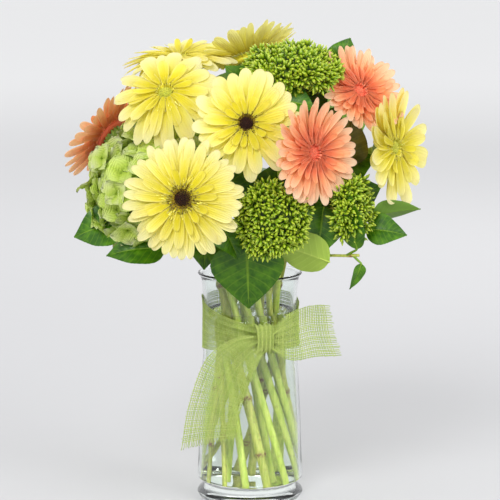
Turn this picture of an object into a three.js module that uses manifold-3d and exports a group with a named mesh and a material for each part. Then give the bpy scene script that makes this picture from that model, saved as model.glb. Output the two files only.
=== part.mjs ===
// Nine gerberas with green hydrangeas and salal leaves in a glass vase of water, tied with a burlap ribbon.
// Millimetres, +Z up. The origin is the centre of the vase's underside, and the front faces -Y.
import * as THREE from "three";
import { mergeVertices } from "three/addons/utils/BufferGeometryUtils.js";
import Module from "manifold-3d";

const wasm = await Module();
wasm.setup();

// ---------------------------------------------------------------- driving dimensions

const GAP = 0.4; // air left between pieces that touch
const SMOOTHING = 0.1; // how far a cut face may be tidied

const VASE_HEIGHT = 208;
const VASE_BODY_RADIUS = 48; // the widest part, low on the body
const VASE_NECK_RADIUS = 42.5; // where the ribbon sits
const VASE_LIP_RADIUS = 47; // the flared rim
const VASE_FOOT_RADIUS = 43; // the flat that it stands on
const VASE_WALL = 2.8;
const VASE_FLOOR = 14; // the thick glass under the water
const VASE_SIDES = 36;
const WATER_BELOW_RIM = 36;

const BIND_BELOW_RIM = 70; // where the stems cross
const OUTER_BIND_RADIUS = 21; // of the outer ring of stems where they cross
const INNER_BIND_RADIUS = 9;
const INNER_SPREAD = 8; // degrees that an inner stem leans at the crossing
const STAND_CLEARANCE = 1.5; // between the outer stems' feet and the glass
const STEM_SIDES = 8;
const STEM_STEPS = 10;

const GERBERA_STEM_RADIUS = 3.2;
const HYDRANGEA_STEM_RADIUS = 3.8;
const MINI_STEM_RADIUS = 2.6;
const SALAL_STEM_RADIUS = 2.2;
const TWIG_RADIUS = 1.3;

const EYE_RADIUS_SHARE = 0.2; // of the flower's radius
const PETAL_STEPS = 28;
const PETAL_NOTCH = 0.91; // of the radius, between two petal tips
const PETAL_ROOT_DEPTH = 5;
const PETAL_TIP_DEPTH = 1.6;
const CALYX_RADIUS = 10;
const CALYX_DEPTH = 13;

const LEAF_THICKNESS = 0.9;
const LEAF_FOLD = 0.16; // rise of the blade's edge for each millimetre from its midrib
const LEAF_ROWS = 9;
const PETIOLE_ROWS = 3;
const PETIOLE_WIDTH = 2.4;
const PETIOLE_THICKNESS = 1.8;

const RIBBON_WIDTH = 51;
const RIBBON_THICKNESS = 0.9;
const LEFT_TAIL_WIDTH = 46; // less than the ribbon's, because the tails ripple
const RIGHT_TAIL_WIDTH = 47;
const KNOT_WIDTH = 18;
const KNOT_HEIGHT = 26;
const KNOT_DEPTH = 12;
const KNOT_TURN = 14.5; // degrees round the vase from the front to the knot, towards +X
const BAND_BELOW_RIM = 46; // to the middle of the ribbon behind the vase
const KNOT_BELOW_RIM = 53; // to the middle of the knot

// Places in the bouquet are measured from the middle of the vase's mouth: right, back and up.
const overMouth = ([right, back, up]) => new THREE.Vector3(right, back, VASE_HEIGHT + up);

// Each flower's middle, the way it faces, its radius, how far its rim stands in front of its middle, and
// the ring of stems that it belongs to.
const flower = (at, facing, radius, cup, ring) => ({ at, facing, radius, cup, ring });
const FLOWERS = {
  yellow_gerbera_1: flower([-57, -115, 81], [-0.17, -0.97, 0.14], 53, -3, "outer"),
  yellow_gerbera_2: flower([-3, -90, 142], [0, -0.93, 0.36], 47, 5, "outer"),
  yellow_gerbera_3: flower([-73, -50, 164], [-0.12, -0.72, 0.68], 48, -6, "outer"),
  yellow_gerbera_4: flower([-64, 40, 186], [-0.1, -0.16, 0.98], 54, 6, "inner"),
  yellow_gerbera_5: flower([-2, 46, 187], [-0.26, 0.35, 0.9], 50, 18, "inner"),
  yellow_gerbera_6: flower([126, -22, 114], [0.82, -0.55, 0.12], 52, 8, "outer"),
  coral_gerbera_1: flower([52, -87, 117], [0.64, -0.76, 0.1], 47, 9, "outer"),
  coral_gerbera_2: flower([95, -14, 162], [0.5, -0.68, 0.54], 45, 9, "outer"),
  coral_gerbera_3: flower([-128, 22, 122], [-0.76, 0.34, 0.55], 51, 6, "outer"),
};

// The domed heads: the middle of the underside, the way the dome faces, its radius, height and ring.
const domed = (at, facing, radius, height, ring) => ({ at, facing, radius, height, ring });
const HYDRANGEAS = {
  hydrangea: domed([-64, -6, 52], [-0.5, -0.34, 0.8], 62, 88, "outer"),
  mini_hydrangea_1: domed([38, -14, 168], [0.04, -0.12, 0.99], 46, 38, "inner"),
  mini_hydrangea_2: domed([18, -78, 60], [0.08, -0.98, -0.06], 34, 30, "outer"),
  mini_hydrangea_3: domed([80, -52, 64], [0.86, -0.5, 0.06], 30, 27, "outer"),
};

// The bare ends of the leafy stems, and the way they point there.
const leafy = (at, facing, radius) => ({ at, facing, radius, ring: "outer" });
const LEAFY_STEMS = {
  salal_twig_right: leafy([96, -62, 24], [0.97, 0, 0.22], TWIG_RADIUS),
  salal_stem_back_left: leafy([-38, 66, 122], [-0.3, 0.5, 0.8], SALAL_STEM_RADIUS),
  salal_stem_back_right: leafy([48, 68, 148], [0.3, 0.4, 0.86], SALAL_STEM_RADIUS),
};

// Each leaf's stem and how far over the mouth it leaves it, where its blade begins and ends, the way its
// upper side faces, its width, and how far the blade arches towards that side.
const blade = (stem, height, from, to, face, width, arch) => ({ stem, height, from, to, face, width, arch });
const LEAVES = {
  leaf_front: blade("mini_hydrangea_2", 34, [-3, -74, 38], [-1, -57, -24], [0, -0.97, 0.25], 64, 5),
  leaf_front_left: blade("mini_hydrangea_2", 46, [-26, -80, 56], [-10, -84, 24], [0.2, -0.8, 0.55], 34, 3),
  leaf_right_pale: blade("salal_twig_right", 19, [69, -66, 19], [14, -72, 38], [0.05, 0.96, 0.25], 37, 3),
  leaf_twig_up: blade("salal_twig_right", 23, [93, -65, 30], [86, -72, 82], [-0.45, -0.8, 0.2], 24, 4),
  leaf_twig_down: blade("salal_twig_right", 23.5, [97, -64, 17], [87, -62, -6], [0.6, -0.7, 0.2], 14, 2),
  leaf_right_upper: blade("mini_hydrangea_3", 48, [106, -38, 54], [151, -28, 60], [0, 0.8, 0.6], 26, 3),
  leaf_right_lower: blade("mini_hydrangea_3", 42, [102, -42, 44], [138, -44, 39], [0.1, -0.78, 0.62], 32, 3),
  leaf_right_dark: blade("mini_hydrangea_3", 38, [64, -56, 66], [58, -62, 22], [0.15, -0.95, 0.2], 42, 3),
  leaf_left: blade("hydrangea", 34, [-112, -38, 50], [-156, -28, 35], [-0.3, -0.8, 0.5], 44, 4),
  leaf_left_low: blade("hydrangea", 26, [-74, -58, 30], [-126, -52, 22], [-0.2, -0.75, 0.62], 38, 5),
  leaf_top_right: blade("mini_hydrangea_1", 150, [76, 14, 180], [90, 22, 208], [0.3, -0.7, 0.6], 28, 3),
  leaf_under_top: blade("mini_hydrangea_1", 142, [24, -44, 158], [56, -50, 152], [0.1, -0.85, 0.5], 36, 3),
  leaf_middle_right: blade("mini_hydrangea_1", 84, [80, -26, 98], [90, -40, 144], [0.3, -0.9, 0.2], 40, 4),
  leaf_back_1: blade("salal_stem_back_left", 44, [-32, 68, 58], [-62, 136, 62], [-0.2, 0.45, 0.87], 60, 8),
  leaf_back_2: blade("salal_stem_back_right", 40, [24, 72, 60], [36, 142, 70], [0.1, 0.45, 0.87], 60, 8),
  leaf_back_3: blade("salal_stem_back_right", 16, [56, 54, 30], [120, 88, 40], [0.3, 0.4, 0.86], 58, 7),
  leaf_back_4: blade("salal_stem_back_left", 88, [-56, 74, 102], [-112, 106, 128], [-0.3, 0.75, 0.6], 56, 6),
  leaf_back_5: blade("salal_stem_back_left", 114, [-26, 84, 124], [-6, 126, 172], [0.1, 0.8, 0.6], 54, 6),
  leaf_back_6: blade("salal_stem_back_right", 112, [70, 66, 120], [116, 88, 158], [0.4, 0.75, 0.5], 56, 6),
};

// ---------------------------------------------------------------- materials

const material = (color, roughness, opacity = 1) =>
  new THREE.MeshStandardMaterial({ color, roughness, opacity, transparent: opacity < 1 });
const GLASS = material(0xf2f6f4, 0.04, 0.3);
const WATER = material(0xe8f2ee, 0.02, 0.35);
const BURLAP = material(0x9fbf5a, 0.9);
const YELLOW_PETAL = material(0xf4e66a, 0.6);
const CORAL_PETAL = material(0xf59067, 0.6);
const DARK_EYE = material(0x3a1f14, 0.9);
const CORAL_EYE = material(0xe0573a, 0.85);
const GERBERA_STEM = material(0x9fb83f, 0.55);
const WOODY_STEM = material(0x8d8a3c, 0.7);
const PALE_FLORET = material(0xbcd980, 0.65);
const LIME_BUD = material(0x8fbd1f, 0.6);
const LEAF = material(0x3f7a12, 0.5);

// ---------------------------------------------------------------- solids

// A closed three.js geometry as a solid that can be cut and joined.
function solidOf(geometry) {
  const bare = geometry.clone();
  bare.deleteAttribute("normal");
  bare.deleteAttribute("uv");
  const merged = mergeVertices(bare, 1e-3);
  return new wasm.Manifold(
    new wasm.Mesh({
      numProp: 3,
      vertProperties: new Float32Array(merged.attributes.position.array),
      triVerts: new Uint32Array(merged.index.array),
    }),
  );
}

function geometryOf(solid) {
  const mesh = solid.getMesh();
  const geometry = new THREE.BufferGeometry();
  geometry.setAttribute("position", new THREE.BufferAttribute(mesh.vertProperties, mesh.numProp));
  geometry.setIndex(new THREE.BufferAttribute(mesh.triVerts, 1));
  geometry.computeVertexNormals();
  return geometry;
}

// The solid with a skin of air round it, made from copies shifted each way.
function withAir(solid) {
  let grown = solid;
  for (const axis of [0, 1, 2]) {
    for (const way of [-GAP, GAP]) {
      const shift = [0, 0, 0];
      shift[axis] = way;
      grown = grown.add(solid.translate(shift));
    }
  }
  return grown;
}

function boxesMeet(a, b) {
  const [p, q] = [a.boundingBox(), b.boundingBox()];
  return [0, 1, 2].every((k) => p.min[k] < q.max[k] && q.min[k] < p.max[k]);
}

// A piece gives way to what is there already: it is cut back where it would press into a neighbour.
function makeRoom(solid, neighbours) {
  const near = neighbours.filter((other) => boxesMeet(solid, other));
  const pressed = near.filter((other) => solid.intersect(other).volume() > 0);
  if (pressed.length === 0) return solid;
  const cut = pressed.reduce((left, other) => left.subtract(withAir(other)), solid);
  const bodies = cut.asOriginal().simplify(SMOOTHING).decompose();
  return bodies.reduce((best, body) => (body.volume() > best.volume() ? body : best));
}

const UP = new THREE.Vector3(0, 0, 1);
const direction = (xyz) => new THREE.Vector3(...xyz).normalize();

// A lathe about +Z, from [radius, height] points.
function turned(points, sides) {
  const profile = points.map(([r, z]) => new THREE.Vector2(r, z));
  return new THREE.LatheGeometry(profile, sides).rotateX(Math.PI / 2);
}

// A geometry made about +Z, moved to a head's middle and turned to face its way.
function onHead(geometry, head) {
  const turn = new THREE.Quaternion().setFromUnitVectors(UP, direction(head.facing));
  return geometry.applyQuaternion(turn).translate(...overMouth(head.at));
}

// Moves each vertex of a geometry to shape(vertex).
function reshape(geometry, shape) {
  const position = geometry.getAttribute("position");
  for (let i = 0; i < position.count; i++) {
    const vertex = new THREE.Vector3().fromBufferAttribute(position, i);
    position.setXYZ(i, ...shape(vertex));
  }
  return geometry;
}

// ---------------------------------------------------------------- vase and water

// The outer wall from the foot to the lip, as [radius, height].
const WALL_POINTS = 9;
const wall = new THREE.SplineCurve([
  new THREE.Vector2(VASE_FOOT_RADIUS + 3.6, 2.5),
  new THREE.Vector2(VASE_BODY_RADIUS, 12),
  new THREE.Vector2(VASE_BODY_RADIUS - 1.2, VASE_HEIGHT * 0.22),
  new THREE.Vector2((VASE_BODY_RADIUS + VASE_NECK_RADIUS) / 2, VASE_HEIGHT * 0.43),
  new THREE.Vector2(VASE_NECK_RADIUS, VASE_HEIGHT * 0.66),
  new THREE.Vector2(VASE_NECK_RADIUS, VASE_HEIGHT - 16),
  new THREE.Vector2(VASE_LIP_RADIUS, VASE_HEIGHT - 1),
]);
const outerWall = wall.getPoints(WALL_POINTS).map((p) => [p.x, p.y]);

// The wall's outer radius at a height.
function wallRadius(height) {
  const upper = outerWall.findIndex(([, z]) => z >= height);
  if (upper < 1) return outerWall.at(upper)[0];
  const [[r0, z0], [r1, z1]] = [outerWall[upper - 1], outerWall[upper]];
  return r0 + ((r1 - r0) * (height - z0)) / (z1 - z0);
}

const FLOOR_CORNER = 5; // how far the inside corner rounds, up the wall and in from it
const insideRadius = (height) => wallRadius(height) - VASE_WALL;
const wallHeights = outerWall.map(([, z]) => z).filter((z) => z > VASE_FLOOR + FLOOR_CORNER + 1);

// The inside from the floor to a level, this far in from the glass, as [radius, height].
function inside(level, air) {
  const heights = [VASE_FLOOR + FLOOR_CORNER, ...wallHeights.filter((z) => z < level - 2), level];
  return [
    [0, VASE_FLOOR + air],
    [insideRadius(VASE_FLOOR) - FLOOR_CORNER - air, VASE_FLOOR + air],
    ...heights.map((z) => [insideRadius(z) - air, z]),
  ];
}

function vase() {
  const lip = [VASE_LIP_RADIUS - VASE_WALL / 2, VASE_HEIGHT];
  const outside = [[0, 0], [VASE_FOOT_RADIUS, 0], ...outerWall];
  return solidOf(turned([...outside, lip, ...inside(VASE_HEIGHT - 1, 0).reverse()], VASE_SIDES));
}

// The water fills the vase to its level, round the stems.
function water() {
  const level = VASE_HEIGHT - WATER_BELOW_RIM;
  const block = solidOf(turned([...inside(level, GAP), [0, level]], VASE_SIDES));
  const channels = Object.values(stems).map(({ points: [foot, next, ...rest], radius }) => {
    const deeper = foot.clone().addScaledVector(foot.clone().sub(next).normalize(), GAP);
    return tube([deeper, next, ...rest], radius + GAP);
  });
  return channels.reduce((left, channel) => left.subtract(channel), block).asOriginal().simplify(SMOOTHING);
}

// ---------------------------------------------------------------- stems

// A stem runs straight through the vase, leaning round the crossing as in a hand-tied spiral, then bends
// to arrive at its head along the head's own axis.
const STANDS_AT = VASE_FLOOR + 3;
const BIND_HEIGHT = VASE_HEIGHT - BIND_BELOW_RIM;
const standRadius = insideRadius(STANDS_AT + FLOOR_CORNER) - HYDRANGEA_STEM_RADIUS - STAND_CLEARANCE;
const outerLean = Math.sqrt(standRadius ** 2 - OUTER_BIND_RADIUS ** 2) / (BIND_HEIGHT - STANDS_AT);
const RINGS = {
  outer: { radius: OUTER_BIND_RADIUS, slope: outerLean },
  inner: { radius: INNER_BIND_RADIUS, slope: Math.tan(THREE.MathUtils.degToRad(INNER_SPREAD)) },
};

// The point of a straight leaning stem at a height, from the angle at which it passes the crossing.
function leaning(angle, ring, height) {
  const along = (height - BIND_HEIGHT) * ring.slope;
  const x = Math.cos(angle) * ring.radius + Math.sin(angle) * along;
  const y = Math.sin(angle) * ring.radius - Math.cos(angle) * along;
  return new THREE.Vector3(x, y, height);
}

function routeOf(stem, angle) {
  const ring = RINGS[stem.ring];
  const facing = direction(stem.facing);
  const end = overMouth(stem.at).addScaledVector(facing, -stem.endDepth);
  const heights = [STANDS_AT, (STANDS_AT + BIND_HEIGHT) / 2, BIND_HEIGHT, VASE_HEIGHT - 4];
  const straight = heights.map((z) => leaning(angle, ring, z));
  const rim = straight[3];
  const lean = rim.clone().sub(straight[0]).normalize();
  const reach = rim.distanceTo(end);
  const leaves = rim.clone().addScaledVector(lean, reach * 0.38);
  const arrives = end.clone().addScaledVector(facing, -reach * 0.34);
  const bend = new THREE.CubicBezierCurve3(rim, leaves, arrives, end);
  return [...straight, ...bend.getPoints(6).slice(1)];
}

const stems = {};
const addStem = (name, head, radius, endDepth) => (stems[name] = { ...head, radius, endDepth });
for (const [name, head] of Object.entries(FLOWERS)) {
  addStem(name, head, GERBERA_STEM_RADIUS, PETAL_ROOT_DEPTH + GAP + CALYX_DEPTH * 0.6);
}
for (const [name, head] of Object.entries(HYDRANGEAS)) {
  addStem(name, head, name === "hydrangea" ? HYDRANGEA_STEM_RADIUS : MINI_STEM_RADIUS, GAP);
}
for (const [name, stem] of Object.entries(LEAFY_STEMS)) addStem(name, stem, stem.radius, 0);

// Round each ring the stems keep the order of their heads, evenly spaced and a part turn on.
const SPIRAL_TURN = THREE.MathUtils.degToRad(72);
for (const ring of ["outer", "inner"]) {
  const members = Object.values(stems).filter((s) => s.ring === ring);
  const heading = (s) => Math.atan2(s.at[1], s.at[0]);
  members.sort((a, b) => heading(a) - heading(b));
  const spacing = (2 * Math.PI) / members.length;
  const start = members.reduce((sum, s, i) => sum + heading(s) - i * spacing, 0) / members.length;
  members.forEach((s, i) => (s.points = routeOf(s, start + SPIRAL_TURN + i * spacing)));
}

// The nearest points of two straight stretches: how far along each, and the way from the second's to the
// first's.
function nearest(a0, a1, b0, b1) {
  const [u, v, w] = [a1.clone().sub(a0), b1.clone().sub(b0), a0.clone().sub(b0)];
  const [uu, uv, vv, uw, vw] = [u.dot(u), u.dot(v), v.dot(v), u.dot(w), v.dot(w)];
  const { clamp } = THREE.MathUtils;
  const spread = uu * vv - uv * uv;
  const guess = spread > 1e-9 ? clamp((uv * vw - vv * uw) / spread, 0, 1) : 0.5;
  const t = clamp((uv * guess + vw) / vv, 0, 1);
  const s = clamp((uv * t - uw) / uu, 0, 1);
  return { s, t, apart: w.addScaledVector(u, s).addScaledVector(v, -t) };
}

// Stems that would touch push each other aside, except where they stand and where they meet their heads.
const PUSH_ROUNDS = 60;
const PUSH_GAP = 1.4;

function pushApart(a, b) {
  const room = a.radius + b.radius + PUSH_GAP;
  const nudge = (stem, k, shove, share) => {
    if (k > 0 && k < stem.points.length - 2) stem.points[k].addScaledVector(shove, share);
  };
  for (let i = 0; i + 1 < a.points.length; i++) {
    for (let j = 0; j + 1 < b.points.length; j++) {
      const { s, t, apart } = nearest(a.points[i], a.points[i + 1], b.points[j], b.points[j + 1]);
      const distance = apart.length();
      if (distance >= room) continue;
      const shove = apart.multiplyScalar((0.5 * (room - distance)) / Math.max(distance, 1e-3));
      nudge(a, i, shove, 1 - s);
      nudge(a, i + 1, shove, s);
      nudge(b, j, shove, t - 1);
      nudge(b, j + 1, shove, -t);
    }
  }
}

const routed = Object.values(stems);
for (let round = 0; round < PUSH_ROUNDS; round++) {
  routed.forEach((a, i) => routed.slice(i + 1).forEach((b) => pushApart(a, b)));
}

function tube(points, radius) {
  const geometry = new THREE.ExtrudeGeometry(new THREE.Shape().absarc(0, 0, radius, 0, 2 * Math.PI), {
    steps: STEM_STEPS,
    bevelEnabled: false,
    curveSegments: STEM_SIDES / 2,
    extrudePath: new THREE.CatmullRomCurve3(points, false, "centripetal"),
  });
  return solidOf(geometry);
}

// The point of a stem at a height over the mouth.
function stemAt(stem, up) {
  const height = VASE_HEIGHT + up;
  const upper = Math.max(1, stem.points.findIndex((p) => p.z >= height));
  const [low, high] = [stem.points[upper - 1], stem.points[upper]];
  return low.clone().lerp(high, THREE.MathUtils.clamp((height - low.z) / (high.z - low.z), 0, 1));
}

// ---------------------------------------------------------------- gerbera heads

// The green cup of bracts under a gerbera's petals, which the stem grows into.
function calyx(head) {
  const top = -PETAL_ROOT_DEPTH - GAP;
  const cup = [
    [0, top - CALYX_DEPTH],
    [GERBERA_STEM_RADIUS * 0.9, top - CALYX_DEPTH],
    [CALYX_RADIUS * 0.85, top - CALYX_DEPTH * 0.5],
    [CALYX_RADIUS, top],
    [0, top],
  ];
  return solidOf(onHead(turned(cup, 12), head));
}

// The ray petals as one scalloped dish with a hole for the eye.
function petals(head) {
  const { radius, cup } = head;
  const hole = radius * EYE_RADIUS_SHARE + GAP;
  const middle = radius * 0.62;
  const rise = (r) => cup * (r / radius) ** 2;
  const dish = turned(
    [
      [hole, -PETAL_ROOT_DEPTH],
      [middle, rise(middle) - (PETAL_ROOT_DEPTH + PETAL_TIP_DEPTH) / 2],
      [radius, rise(radius) - PETAL_TIP_DEPTH],
      [radius, rise(radius)],
      [hole, 0],
      [hole, -PETAL_ROOT_DEPTH],
    ],
    PETAL_STEPS,
  );
  const scalloped = reshape(dish, ({ x, y, z }) => {
    const step = Math.round((Math.atan2(y, x) / (2 * Math.PI)) * PETAL_STEPS);
    const share = step % 2 === 0 || Math.hypot(x, y) < radius * 0.95 ? 1 : PETAL_NOTCH;
    return [x * share, y * share, z];
  });
  return solidOf(onHead(scalloped, head));
}

function eye(head) {
  const r = head.radius * EYE_RADIUS_SHARE;
  const foot = GAP - PETAL_ROOT_DEPTH;
  const profile = [[0, foot], [r, foot], [r, 2], [r * 0.6, 4], [0, 3]];
  return solidOf(onHead(turned(profile, 12), head));
}

// ---------------------------------------------------------------- hydrangea heads

const DOME_SIDES = 14;
const DOME_LUMPS = 0.04; // of the radius

function dome(head) {
  const { radius: r, height: h } = head;
  const profile = [
    [0, 0],
    [r * 0.55, -h * 0.05],
    [r * 0.92, h * 0.16],
    [r, h * 0.42],
    [r * 0.86, h * 0.7],
    [r * 0.5, h * 0.93],
    [0, h],
  ];
  const lumpy = reshape(turned(profile, DOME_SIDES), ({ x, y, z }) => {
    const share = 1 - DOME_LUMPS * (1 + Math.sin(3 * Math.atan2(y, x) + (5 * z) / h));
    return [x * share, y * share, z];
  });
  return solidOf(onHead(lumpy, head));
}

// ---------------------------------------------------------------- leaves

// The blade's half width at a share of its length: rounded near the base and drawn out to a point.
const OUTLINE_PEAK = 0.915;
const outline = (t) => (Math.sin(Math.PI * t ** 0.66) ** 0.9 * (1 - 0.25 * t)) / OUTLINE_PEAK;

function leaf(spec) {
  const stem = stems[spec.stem];
  const [from, to, face] = [overMouth(spec.from), overMouth(spec.to), direction(spec.face)];
  const start = stemAt(stem, spec.height);
  const away = from.clone().sub(start).normalize();
  start.addScaledVector(away, stem.radius + PETIOLE_WIDTH * 0.5 + GAP);
  const middle = from.clone().lerp(to, 0.5);
  const petiole = new THREE.LineCurve3(start, from);
  const midrib = new THREE.QuadraticBezierCurve3(from, middle.addScaledVector(face, spec.arch * 2), to);
  const rows = PETIOLE_ROWS + LEAF_ROWS;
  const plate = new THREE.BoxGeometry(2, rows, 1, 2, rows, 1);
  const bent = reshape(plate, ({ x: across, y, z: layer }) => {
    const row = y + rows / 2;
    const onBlade = row > PETIOLE_ROWS;
    const curve = onBlade ? midrib : petiole;
    const t = onBlade ? (row - PETIOLE_ROWS) / LEAF_ROWS : row / PETIOLE_ROWS;
    const along = curve.getTangent(t);
    const side = along.clone().cross(face).normalize();
    const out = side.clone().cross(along);
    const half = Math.max(onBlade ? (outline(t) * spec.width) / 2 : 0, PETIOLE_WIDTH / 2);
    const lift = layer * (onBlade ? LEAF_THICKNESS : PETIOLE_THICKNESS) + Math.abs(across) * half * LEAF_FOLD;
    return curve.getPoint(t).addScaledVector(side, across * half).addScaledVector(out, lift);
  });
  return solidOf(bent);
}

// ---------------------------------------------------------------- ribbon

const KNOT_ANGLE = THREE.MathUtils.degToRad(KNOT_TURN - 90);
const KNOT_HEIGHT_UP = VASE_HEIGHT - KNOT_BELOW_RIM;
const aroundVase = (angle, r, z) => new THREE.Vector3(Math.cos(angle) * r, Math.sin(angle) * r, z);
const knotFront = aroundVase(KNOT_ANGLE, 1, 0);
const knotRight = aroundVase(KNOT_ANGLE + Math.PI / 2, 1, 0);
const knotMiddle = aroundVase(KNOT_ANGLE, wallRadius(KNOT_HEIGHT_UP) + GAP + KNOT_DEPTH / 2, KNOT_HEIGHT_UP);

// A point by its place to the right of the knot's middle, above it and in front of it.
function byKnot(right, up, front) {
  const point = knotMiddle.clone().addScaledVector(knotRight, right);
  return point.addScaledVector(UP, up).addScaledVector(knotFront, front);
}

// A strip of ribbon: place(along, across) gives a point of its inner face and the way out of it.
function strip(rows, columns, place) {
  const plate = new THREE.BoxGeometry(1, 1, 1, rows, columns, 1);
  const bent = reshape(plate, ({ x, y, z }) => {
    const { point, out } = place(x + 0.5, y + 0.5);
    return point.addScaledVector(out, z > 0 ? RIBBON_THICKNESS : 0);
  });
  return solidOf(bent);
}

// The band is gathered at the knot, opens over a quarter of the way round, and is flat behind the vase.
const BAND_OPENS_OVER = 0.27; // of the way round
function band() {
  const start = (KNOT_WIDTH * 0.3) / wallRadius(KNOT_HEIGHT_UP);
  const middle = VASE_HEIGHT - BAND_BELOW_RIM;
  return strip(28, 2, (along, across) => {
    const angle = KNOT_ANGLE + start + along * (2 * Math.PI - 2 * start);
    const open = Math.min(1, Math.min(along, 1 - along) / BAND_OPENS_OVER);
    const half = THREE.MathUtils.lerp(KNOT_HEIGHT * 0.36, RIBBON_WIDTH / 2, open);
    const z = THREE.MathUtils.lerp(KNOT_HEIGHT_UP, middle, open) + (across * 2 - 1) * half;
    const lift = GAP + (1 - open) * KNOT_DEPTH * 0.25;
    return { point: aroundVase(angle, wallRadius(z) + lift, z), out: aroundVase(angle, 1, 0) };
  });
}

// A tail runs along a curve from the knot, opening from the knot's gather to its full width. Its width
// points one way at the knot and another at its end, which is cut at a slant.
const TAIL_OPENS_OVER = 0.45; // of its length
function tail(spine, width, startWay, endWay, slant) {
  const curve = new THREE.CatmullRomCurve3(spine.map((place) => byKnot(...place)));
  return strip(8, 3, (along, across) => {
    const way = direction(startWay).lerp(direction(endWay), along).normalize();
    const open = Math.min(1, along / TAIL_OPENS_OVER);
    const half = THREE.MathUtils.lerp(KNOT_HEIGHT * 0.34, width / 2, open * (2 - open));
    const side = across * 2 - 1;
    const tangent = curve.getTangent(along);
    const point = curve.getPoint(along).addScaledVector(way, side * half);
    point.addScaledVector(tangent, side * slant * along);
    return { point, out: tangent.cross(way).normalize() };
  });
}

function knot() {
  const squared = (v) => Math.sign(v) * Math.abs(v) ** 0.75;
  const ball = new THREE.SphereGeometry(1, 12, 8);
  const lump = reshape(ball, ({ x, y, z }) =>
    byKnot((squared(x) * KNOT_WIDTH) / 2, (squared(y) * KNOT_HEIGHT) / 2, (squared(z) * KNOT_DEPTH) / 2),
  );
  return solidOf(lump);
}

// The left tail hangs down, and the right one stands out sideways.
function ribbon() {
  const hanging = [[-5, -3, 1], [-19, -11, 1], [-33, -31, -6], [-43, -65, -11], [-48, -95, -12]];
  const jutting = [[6, 0, 1], [22, 2, 5], [42, 6, 5], [64, 5, 2]];
  const leftTail = tail(hanging, LEFT_TAIL_WIDTH, [0.6, 0, -0.8], [0.99, 0, -0.08], -7);
  const rightTail = tail(jutting, RIGHT_TAIL_WIDTH, [0.1, 0, 1], [-0.06, 0, 1], -6);
  return band().add(knot()).add(leftTail).add(rightTail);
}

// ---------------------------------------------------------------- putting it together

const bouquet = new THREE.Group();
const placed = [];

function place(name, solid, look) {
  const fitted = makeRoom(solid, placed);
  const mesh = new THREE.Mesh(geometryOf(fitted), look);
  mesh.name = name;
  bouquet.add(mesh);
  placed.push(fitted);
}

place("vase", vase(), GLASS);

for (const [name, stem] of Object.entries(stems)) {
  const bare = tube(stem.points, stem.radius);
  if (FLOWERS[name]) place(`${name}_stem`, bare.add(calyx(FLOWERS[name])), GERBERA_STEM);
  else place(LEAFY_STEMS[name] ? name : `${name}_stem`, bare, WOODY_STEM);
}

for (const [name, head] of Object.entries(FLOWERS)) {
  const coral = name.startsWith("coral");
  place(`${name}_petals`, petals(head), coral ? CORAL_PETAL : YELLOW_PETAL);
  place(`${name}_eye`, eye(head), coral ? CORAL_EYE : DARK_EYE);
}

for (const [name, head] of Object.entries(HYDRANGEAS)) {
  place(`${name}_head`, dome(head), name === "hydrangea" ? PALE_FLORET : LIME_BUD);
}

place("ribbon", ribbon(), BURLAP);
for (const [name, spec] of Object.entries(LEAVES)) place(name, leaf(spec), LEAF);
place("water", water(), WATER);

export default bouquet;
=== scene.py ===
# Nine gerberas with green hydrangeas and salal leaves, tied by hand and standing in a glass vase of water,
# with a burlap ribbon knotted round its neck. Metres, +Z up, and the bouquet faces -Y.
import math

import bmesh
import bpy
import numpy as np
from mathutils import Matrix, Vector
from mathutils.bvhtree import BVHTree


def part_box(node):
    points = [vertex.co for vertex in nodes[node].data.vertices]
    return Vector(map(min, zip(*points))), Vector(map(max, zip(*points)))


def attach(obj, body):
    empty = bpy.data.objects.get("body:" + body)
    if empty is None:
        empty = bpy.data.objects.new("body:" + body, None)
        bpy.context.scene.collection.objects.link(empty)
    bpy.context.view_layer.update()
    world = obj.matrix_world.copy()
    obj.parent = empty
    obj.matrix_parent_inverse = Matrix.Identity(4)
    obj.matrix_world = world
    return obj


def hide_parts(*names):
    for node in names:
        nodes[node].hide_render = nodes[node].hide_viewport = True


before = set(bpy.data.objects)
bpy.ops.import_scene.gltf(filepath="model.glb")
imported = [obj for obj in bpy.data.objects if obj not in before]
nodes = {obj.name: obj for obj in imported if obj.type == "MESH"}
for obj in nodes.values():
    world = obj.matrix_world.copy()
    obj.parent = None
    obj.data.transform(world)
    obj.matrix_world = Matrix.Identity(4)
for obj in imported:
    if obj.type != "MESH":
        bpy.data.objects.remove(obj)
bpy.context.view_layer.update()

# ---------------------------------------------------------------- the vase
# One piece of clear pressed glass, with a thick floor, a wall that narrows to the neck and a flared lip.
# It stands on its flat foot and holds everything else. Its outline is read from the frame's vase.
VASE_TURNS = 96
LIP_STEPS = 7
WALL_STEPS = 6
FOOT_HOLLOW = 0.0012
FOOT_ROUND = 0.002
LEVEL_MARGIN = 0.001
WELD_DISTANCE = 2e-6


class Wire:
    """An output of a finish's node. Sums and products of wires and numbers add Math nodes."""

    def __init__(self, finish, socket):
        self.finish = finish
        self.socket = socket

    def maths(self, operation, *terms):
        return self.finish.node("Math", {"operation": operation}, dict(enumerate(terms)))

    def __add__(self, other):
        return self.maths("ADD", self, other)

    def __sub__(self, other):
        return self.maths("SUBTRACT", self, other)

    def __rsub__(self, other):
        return self.maths("SUBTRACT", other, self)

    def __mul__(self, other):
        return self.maths("MULTIPLY", self, other)

    __radd__ = __add__
    __rmul__ = __mul__

    def __abs__(self):
        return self.maths("ABSOLUTE", self)

    def between(self, low, high):
        """0 where this is low or less, 1 where it is high or more, and smooth between."""
        settings = {"interpolation_type": "SMOOTHSTEP"}
        return self.finish.node("MapRange", settings, {"Value": self, "From Min": low, "From Max": high})


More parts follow.
